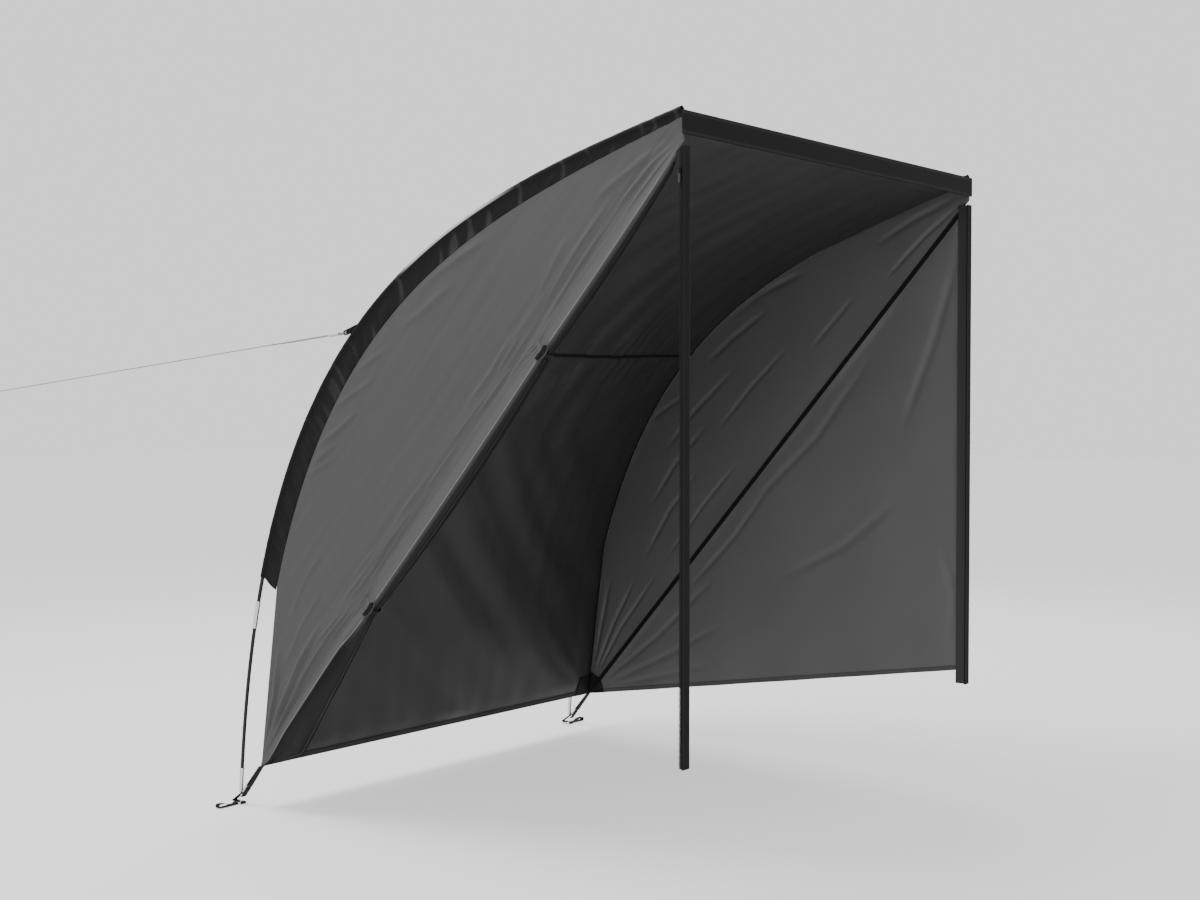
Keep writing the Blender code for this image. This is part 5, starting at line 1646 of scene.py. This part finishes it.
class TENT_OT_sleeves(bpy.types.Operator):
    """Sew the black sleeves that carry the arches"""

    bl_idname = "tent.sleeves"
    bl_label = "Pole sleeves"

    def execute(self, context):
        start, stop = SLEEVE_START, CLOTH_END - GAP
        rows, columns = 420, 44
        light_from, light_to = (run_where(x, lambda run: along(run)[0].x) for x in SLEEVE_HIGHLIGHT_ENDS)
        for side, word in SIDES:
            def wrinkle(distance, depth, side=side):
                lean = distance + 0.42 * depth + 0.004 * side
                bunch = noise.noise(Vector((lean / 0.022, depth / 0.11, 2.0 + side)))
                long_fold = noise.noise(Vector((lean / 0.060, depth / 0.2, 7.0 + side)))
                return bunch, long_fold

            def place(run, across, side=side):
                distance = start + (stop - start) * run
                centre, inward = along(distance)
                tangent = Vector((-inward.y, inward.x))
                reach = max(seam_offset(distance) - GAP, LEAST_FIN)
                fin = FIN_SHARE
                if fin <= across <= 1.0 - fin:
                    share = (across - fin) / (1.0 - 2.0 * fin)
                    turn = radians(TUNNEL_SLIT + TUNNEL_TURN * share)
                    bunch, long_fold = wrinkle(distance, 0.01 * cos(turn))
                    ripple = 0.0009 * bunch + 0.0004 * long_fold
                    round_reach = TUNNEL_RADIUS + ripple * sin(turn / 2.0) ** 2
                    depth, y = round_reach * cos(turn), round_reach * sin(turn)
                    y = max(abs(y), 0.0007) * (1.0 if turn < pi else -1.0)
                else:
                    share = across / fin if across < fin else (1.0 - across) / fin
                    root = SLEEVE_ROOT
                    depth = reach + (root - reach) * share
                    bunch, long_fold = wrinkle(distance, depth)
                    middle = sin(pi * min(1.0, (reach - depth) / max(reach - root, 1e-6))) ** 0.6
                    amount = min(1.0, (reach - root) / 0.03)
                    y = (0.0078 * bunch + 0.0046 * long_fold) * middle * amount
                    parted = 0.0007 + 0.0015 * ease((share - 0.85) / 0.15)
                    y += parted if across < fin else -parted
                ease_low = 1.0 - ease((distance - start) / 0.07)
                share_in = ease((depth - TUNNEL_RADIUS) / max(reach - TUNNEL_RADIUS, 1e-3))
                flat = centre + inward * depth - tangent * (0.019 * share_in * ease_low)
                return spot(flat, side * HALF - side * y)

            def uv(run, across):
                return (across - 0.5) * SLEEVE_FLAT, start + (stop - start) * run

            # Painted highlight: a pale strip along the sleeve's outer bend between the given ends, and
            # paler wrinkle crests.
            def light(run, across, side=side):
                distance = start + (stop - start) * run
                strip = 1.0 - ease((abs(across - 0.582) - 0.058) / 0.010)
                long = ease((distance - light_from) / 0.10) * ease((light_to - distance) / 0.16)
                share = min(across, 1.0 - across) / FIN_SHARE
                reach = max(seam_offset(distance), LEAST_FIN)
                bunch, _ = wrinkle(distance, reach + (TUNNEL_RADIUS - reach) * min(share, 1.0))
                crease_highlight = 0.045 * ease((bunch - 0.16) / 0.24) * ease((distance - start - 0.3) / 0.6)
                return max(0.9 * strip * long, crease_highlight)

            grid = new_grid(rows, columns, place, uv, tag=light)
            self.face_out(grid, side)
            sleeve = finish_piece(f"{word}_sleeve_cloth", grid, [sleeve_cloth()],
                                  stands_for=[f"{word}_pole_sleeve"], wall=0.0006, smooth=180.0)
            round(stop - start, 3)
            round(self.sleeve_area(start, stop), 4)
        return {"FINISHED"}

    @staticmethod
    def sleeve_area(start, stop):
        """The cloth in a sleeve: its tunnel and its two fins, down to the seam."""
        tunnel = TUNNEL_RADIUS * radians(TUNNEL_TURN)
        steps = [start + (stop - start) * (i + 0.5) / 60 for i in range(60)]
        fins = [2.0 * max(seam_offset(run) - SLEEVE_ROOT, 0.002) for run in steps]
        return sum((tunnel + both) * (stop - start) / 60 for both in fins)

    @staticmethod
    def face_out(bm, side):
        """Turns the faces so that the tunnel's outer side shows outwards."""
        bm.normal_update()
        facing = 0.0
        for face in bm.faces:
            middle = face.calc_center_median()
            if middle.y * side > HALF + 0.004:
                facing += face.normal.y * side
        if facing < 0.0:
            bmesh.ops.reverse_faces(bm, faces=bm.faces)


ROD_START, ROD_END_X = 0.049, -0.052     # the rods' ends: along the arch, and in X
ROD_GAP = 0.0005
ROD_END_RADIUS = 0.0049
FERRULE_HALF = 0.0426
FERRULE_BEVEL = 0.0004


class TENT_OT_poles(bpy.types.Operator):
    """Put in the rods with their ferrules, tips and foot pins"""

    bl_idname = "tent.poles"
    bl_label = "Poles"

    def execute(self, context):
        fibre = known("glass_fibre_rod", rod, tuple(colours().pole))
        pole_stop = run_where(ROD_END_X, lambda run: along(run)[0].x)
        pitch = (pole_stop - ROD_START) / 5
        bore, bevel = FERRULE_BORE, FERRULE_BEVEL
        for side, word in SIDES:
            for number in range(5):
                low = ROD_START + pitch * number + (ROD_GAP if number else 0.0)
                high = ROD_START + pitch * (number + 1) - ROD_GAP
                outline = [(run, POLE_RADIUS) for run in stepped(low + 0.0006, high - 0.0006)]
                outline = [(low, ROD_END_RADIUS), *outline, (high, ROD_END_RADIUS)]
                finish_piece(f"{word}_rod_{number + 1}", turned(side, outline), [fibre],
                             stands_for=[f"{word}_pole_section_{number + 1}"])
            for number in range(1, 5):
                middle = ROD_START + pitch * number
                runs = stepped(middle - FERRULE_HALF, middle + FERRULE_HALF, 0.012)
                low, high = runs[0] - bevel, runs[-1] + bevel
                outline = [(low, FERRULE_RADIUS - bevel)]
                outline += [(run, FERRULE_RADIUS) for run in runs]
                outline += [(high, FERRULE_RADIUS - bevel)]
                outline += [(run, bore) for run in (high, *reversed(runs[1:-1]), low)]
                ferrule = turned(side, outline, hollow=True)
                finish_piece(f"{word}_rod_ferrule_{number}", ferrule, [steel()],
                             stands_for=[f"{word}_ferrule_{number}"])
            outline = [(0.022, 0.0018), (0.0228, 0.0028), (0.024, 0.0030), (0.039, 0.0030),
                       (0.0393, 0.0060), (0.0398, FERRULE_RADIUS)]
            outline += [(run, FERRULE_RADIUS) for run in (0.050, 0.070, 0.090, 0.1124)]
            outline += [(0.113, FERRULE_RADIUS - 0.0005), (0.113, bore), (0.090, bore), (0.0487, bore)]
            finish_piece(f"{word}_foot_ferrule", turned(side, outline), [steel()],
                         stands_for=[f"{word}_end_ferrule"])
            skirt, cap = pole_stop - 0.0108, pole_stop + 0.0072
            outline = [(cap, 0.0030), (cap - 0.0004, 0.0046), (cap - 0.0012, 0.0060),
                       (cap - 0.0024, 0.0067), (cap - 0.004, 0.0068), (skirt + 0.0006, 0.0068),
                       (skirt, 0.0064), (skirt, bore), (pole_stop + GAP, bore)]
            finish_piece(f"{word}_rod_tip", turned(side, outline), [black_plastic()],
                         stands_for=[f"{word}_pole_tip"])
        return {"FINISHED"}


BAND_X, BAND_THICK = -0.0020, 0.0039        # the webbing on the wall
HEADER_HALF, HEADER_WIDTH = 0.835, 0.060
STRIP_LOW, STRIP_HIGH = 0.320, 1.8837       # the strips' ends above the ground
STRIP_Y, STRIP_WIDTH = 0.818, 0.030
ZIP_TAPE_X, ZIP_TAPE_WIDTH, ZIP_TAPE_THICK = -0.0090, 0.0104, 0.0011
TOOTH_X, TOOTH_WIDTH, TOOTH_THICK = -0.0158, 0.0035, 0.0034
GUARD_X, GUARD_WIDTH, GUARD_THICK = -0.0225, 0.037, 0.0009     # the flap inside the far zip


class TENT_OT_wall_edges(bpy.types.Operator):
    """Hang the header band and the zip strips on the wall"""

    bl_idname = "tent.wall_edges"
    bl_label = "Header band and strips"

    def execute(self, context):
        path = [Vector((BAND_X, -HEADER_HALF + 2.0 * HEADER_HALF * i / 120, 0.0)) for i in range(121)]
        header = band(path, Z_AXIS, HEADER_WIDTH, BAND_THICK)
        finish_piece("header_webbing", header, [strap_webbing(0.030, (0.026, 0.0225))],
                     stands_for=["header_band"])
        low, high = GROUND + STRIP_LOW, GROUND + STRIP_HIGH
        levels = [low + (high - low) * i / 110 for i in range(111)]
        pitch = context.scene.tent_sizes.tooth_pitch
        for side, word in SIDES:
            places = [Vector((BAND_X, side * STRIP_Y, z)) for z in levels]
            strip = band(places, Y_AXIS, STRIP_WIDTH, BAND_THICK)
            finish_piece(f"{word}_strip_webbing", strip, [strap_webbing(0.015, (0.0125,))],
                         stands_for=[f"{word}_wall_strip"])
            middle = [Vector((ZIP_TAPE_X, side * HALF, z)) for z in levels]
            web = band(middle, X_AXIS, ZIP_TAPE_WIDTH, ZIP_TAPE_THICK)
            finish_piece(f"{word}_zip_tape", web, [binding_tape()], stands_for=[f"{word}_wall_strip"])
            coil = bmesh.new()
            count = int((high - low - 0.006) / pitch)
            for i in range(count):
                place = Matrix.Translation((TOOTH_X, side * HALF, low + 0.003 + pitch * i))
                scale = Matrix.Diagonal((TOOTH_WIDTH, TOOTH_THICK, pitch * 0.52, 1.0))
                bmesh.ops.create_cube(coil, size=1.0, matrix=place @ scale)
            finish_piece(f"{word}_zip_teeth", coil, [black_plastic()],
                         stands_for=[f"{word}_wall_strip"], smooth=20.0)
            if side > 0:
                guard_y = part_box("far_zip_slider")[0][1] - 0.0016
                middle = [Vector((GUARD_X, guard_y, z)) for z in levels]
                guard = band(middle, X_AXIS, GUARD_WIDTH, GUARD_THICK)
                finish_piece("far_zip_guard", guard, [inside_cloth()])
            dress_nodes([f"{word}_zip_slider"], black_plastic())
            dress_nodes([f"{word}_zip_pull"], dull_steel())
        return {"FINISHED"}


# The feet: places in X and height from the pole's foot

FOOT_BAR = Vector((0.0240, 0.0435))         # the buckle's lowest bar
STRAP_TOP = Vector((0.095, 0.129))          # where the corner strap meets the cloth
BAR_PITCH = 0.011
STRAP_WIDTH, STRAP_THICK = 0.020, 0.0016
PEG_TIP, PEG_WIDTH = 0.074, 0.018


class TENT_OT_feet(bpy.types.Operator):
    """Fit each foot's straps, buckle, ring and peg loop, and the patch on the cloth's corner"""

    bl_idname = "tent.feet"
    bl_label = "Feet"

    def execute(self, context):
        rise = (STRAP_TOP - FOOT_BAR).normalized()
        across = Vector((-rise.y, rise.x))
        lean = degrees(atan2(across.y, across.x))
        middle_bar, top_bar = FOOT_BAR + rise * BAR_PITCH, FOOT_BAR + rise * (2.0 * BAR_PITCH)
        thick = STRAP_THICK
        # How far a strap's middle passes from the middle of a bar, and of the ring's wire
        hug = hypot(0.0028, 0.003) / 2.0 + GAP + thick / 2.0
        ring_hug = RING_WIRE + 1.5 * GAP + thick / 2.0
        webbing = strap_webbing(0.010, (0.0078,))
        for side, word in SIDES:
            def beside(flat, side=side):
                return Vector((-DEPTH + flat.x, side * HALF, flat.y + GROUND))

            lower = Vector((-0.0275, RING_LEVEL + ring_hug))
            path = arc((0.010, RING_LEVEL), ring_hug, -120.0, 90.0, 12)
            path += [path[-1].lerp(lower, share) for share in (0.25, 0.5, 0.75)]
            path += arc(lower + Vector((0.0, thick * 0.75)), thick * 0.75, -90.0, -250.0, 8)
            bar = FOOT_BAR + across * hug - rise * 0.0028
            path += [path[-1].lerp(bar, share) for share in (0.35, 0.7, 1.0)]
            path += arc(middle_bar, hug, lean, lean - 180.0, 12)
            path += [middle_bar - across * hug - rise * reach for reach in (0.012, 0.024, 0.034)]
            strap = band([beside(flat) for flat in path], Y_AXIS, STRAP_WIDTH, thick)
            finish_piece(f"{word}_foot_webbing", strap, [webbing], stands_for=[f"{word}_foot_strap"])

            apart = thick / 2.0 + GAP
            seat = STRAP_TOP - rise * 2.0 * GAP
            lead = top_bar + rise * 0.010
            legs = ((seat, apart), (seat.lerp(lead, 0.5), (apart + hug) / 2.0), (lead, hug))
            path = [place + across * away for place, away in legs]
            path += arc(top_bar, hug, lean, lean + 180.0, 12)
            path += [place - across * away for place, away in reversed(legs)]
            strap = band([beside(flat) for flat in path], Y_AXIS, STRAP_WIDTH, thick)
            finish_piece(f"{word}_corner_webbing", strap, [webbing],
                         stands_for=[f"{word}_corner_strap"])
            dress_nodes([f"{word}_strap_buckle"], grey_plastic())
            self.ring(side, word)
            self.eyelet(side, word)
            self.peg_loop(side, word, ring_hug, thick)
            on_seam = CORNER.lerp(LOW_SEAM, PATCH_LENGTH / (LOW_SEAM - CORNER).length)
            on_diagonal = CORNER + DIAGONAL * PATCH_LENGTH
            self.patch(f"{word}_panel_corner_patch", side, on_seam, on_diagonal, "tent")
        hem = Vector((0.075, hem_height(CORNER.x + 0.075) - CORNER.y))
        upper = on_diagonal + DOORWARD * 0.0014
        self.patch("far_door_corner_patch", 1, upper, CORNER + hem, "far_door")
        return {"FINISHED"}

    @staticmethod
    def ring(side, word):
        corner, bend = 0.011, 0.004
        path = []
        for number, (u, w) in enumerate(((1, 1), (-1, 1), (-1, -1), (1, -1))):
            path += arc((u * corner, w * corner), bend, 90.0 * number, 90.0 * number + 90.0, 6)
        points = [Vector((-DEPTH - 0.005 + p.x, side * HALF + p.y, GROUND + RING_LEVEL)) for p in path]
        wire = tube(points + points[:1], RING_WIRE, 14, closed=True)
        finish_piece(f"{word}_wire_ring", wire, [steel()], stands_for=[f"{word}_foot_ring"])

    @staticmethod
    def eyelet(side, word):
        """The steel rim that the pole's pin stands in."""
        pin = along(0.0305)[0]
        radius, level = 0.0046, GROUND + RING_LEVEL + 0.00345 + 0.0009
        turns = [2.0 * pi * i / 20 for i in range(21)]
        circle = [Vector((pin.x + radius * cos(t), side * HALF + radius * sin(t), level))
                  for t in turns]
        rim = tube(circle, 0.0010, 8, closed=True)
        finish_piece(f"{word}_foot_eyelet", rim, [steel()])

    @staticmethod
    def peg_loop(side, word, ring_hug, thick):
        low = RING_LEVEL - ring_hug
        sewn = low + thick + GAP
        bend = (0.0135 - thick) / 2.0
        turn_at = PEG_TIP - bend
        path = [Vector((0.0257, sewn)), Vector((0.018, sewn)), Vector((0.010, sewn))]
        path += arc((0.0, RING_LEVEL), ring_hug, 50.0, 270.0, 14)
        path += [Vector((0.013, low)), Vector((0.026, low))]
        path += [Vector((0.026, low)).lerp(Vector((turn_at, low)), share) for share in (0.33, 0.66)]
        path += arc((turn_at, low + bend), bend, -90.0, 90.0, 12)
        path += [Vector((turn_at - 0.016, low + 2.0 * bend - thick / 2.0)), Vector((0.036, low + bend))]
        path += [Vector((0.0276, sewn)), Vector((0.0263, sewn))]
        seat_y = side * (HALF + 0.015)
        points = [Vector((-DEPTH - 0.005, seat_y + side * p.x, GROUND + p.y)) for p in path]
        strap = band(points, X_AXIS, PEG_WIDTH, thick)
        finish_piece(f"{word}_peg_webbing", strap, [strap_webbing(0.009, (0.007,))], body=f"{word}_peg",
                     stands_for=[f"{word}_peg_loop"])

    @staticmethod
    def patch(name, side, upper, lower, body):
        """A black patch that spreads the strap's pull into the cloth, on its inner face."""
        rows, columns = 16, 12

        def place(run, across):
            share = 0.05 + 0.95 * run
            flat = CORNER.lerp(upper, share).lerp(CORNER.lerp(lower, share), across)
            return spot(flat, side * (HALF - 0.0038))

        def uv(run, across):
            return (across - 0.5) * 0.04, run * PATCH_LENGTH

        grid = new_grid(rows, columns, place, uv, outward=Vector((0.0, -side, 0.0)))
        finish_piece(name, grid, [binding_tape()], body=body, wall=0.0007)


class TENT_PT_pieces(bpy.types.Panel):
    """The tent's pieces and settings"""

    bl_label = "Bicycle Tent"
    bl_idname = "TENT_PT_pieces"
    bl_space_type = "VIEW_3D"
    bl_region_type = "UI"
    bl_category = "Bicycle Tent"

    def draw(self, context):
        scene = context.scene
        for group in (scene.tent_sizes, scene.tent_colours, scene.studio_settings):
            column = self.layout.column()
            for name in group.__annotations__:
                column.prop(group, name)
        for operator in OPERATORS:
            self.layout.operator(operator.bl_idname)


OPERATORS = (STAGE_OT_studio, TENT_OT_guy_line, TENT_OT_side_panels, TENT_OT_door_roll,
             TENT_OT_ties, TENT_OT_shell, TENT_OT_far_door, TENT_OT_sleeves, TENT_OT_poles,
             TENT_OT_wall_edges, TENT_OT_feet)
SETTINGS = (("tent_sizes", TentSizes), ("tent_colours", TentColours),
            ("studio_settings", StudioSettings))


def register():
    for _, group in SETTINGS:
        bpy.utils.register_class(group)
    for name, group in SETTINGS:
        setattr(bpy.types.Scene, name, bpy.props.PointerProperty(type=group))
    for operator in OPERATORS:
        bpy.utils.register_class(operator)
    bpy.utils.register_class(TENT_PT_pieces)


def unregister():
    bpy.utils.unregister_class(TENT_PT_pieces)
    for operator in reversed(OPERATORS):
        bpy.utils.unregister_class(operator)
    for name, group in reversed(SETTINGS):
        delattr(bpy.types.Scene, name)
        bpy.utils.unregister_class(group)


def main():
    register()
    for operator in OPERATORS:
        group, name = operator.bl_idname.split(".")
        getattr(getattr(bpy.ops, group), name)()
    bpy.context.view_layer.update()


if __name__ == "__main__":
    main()
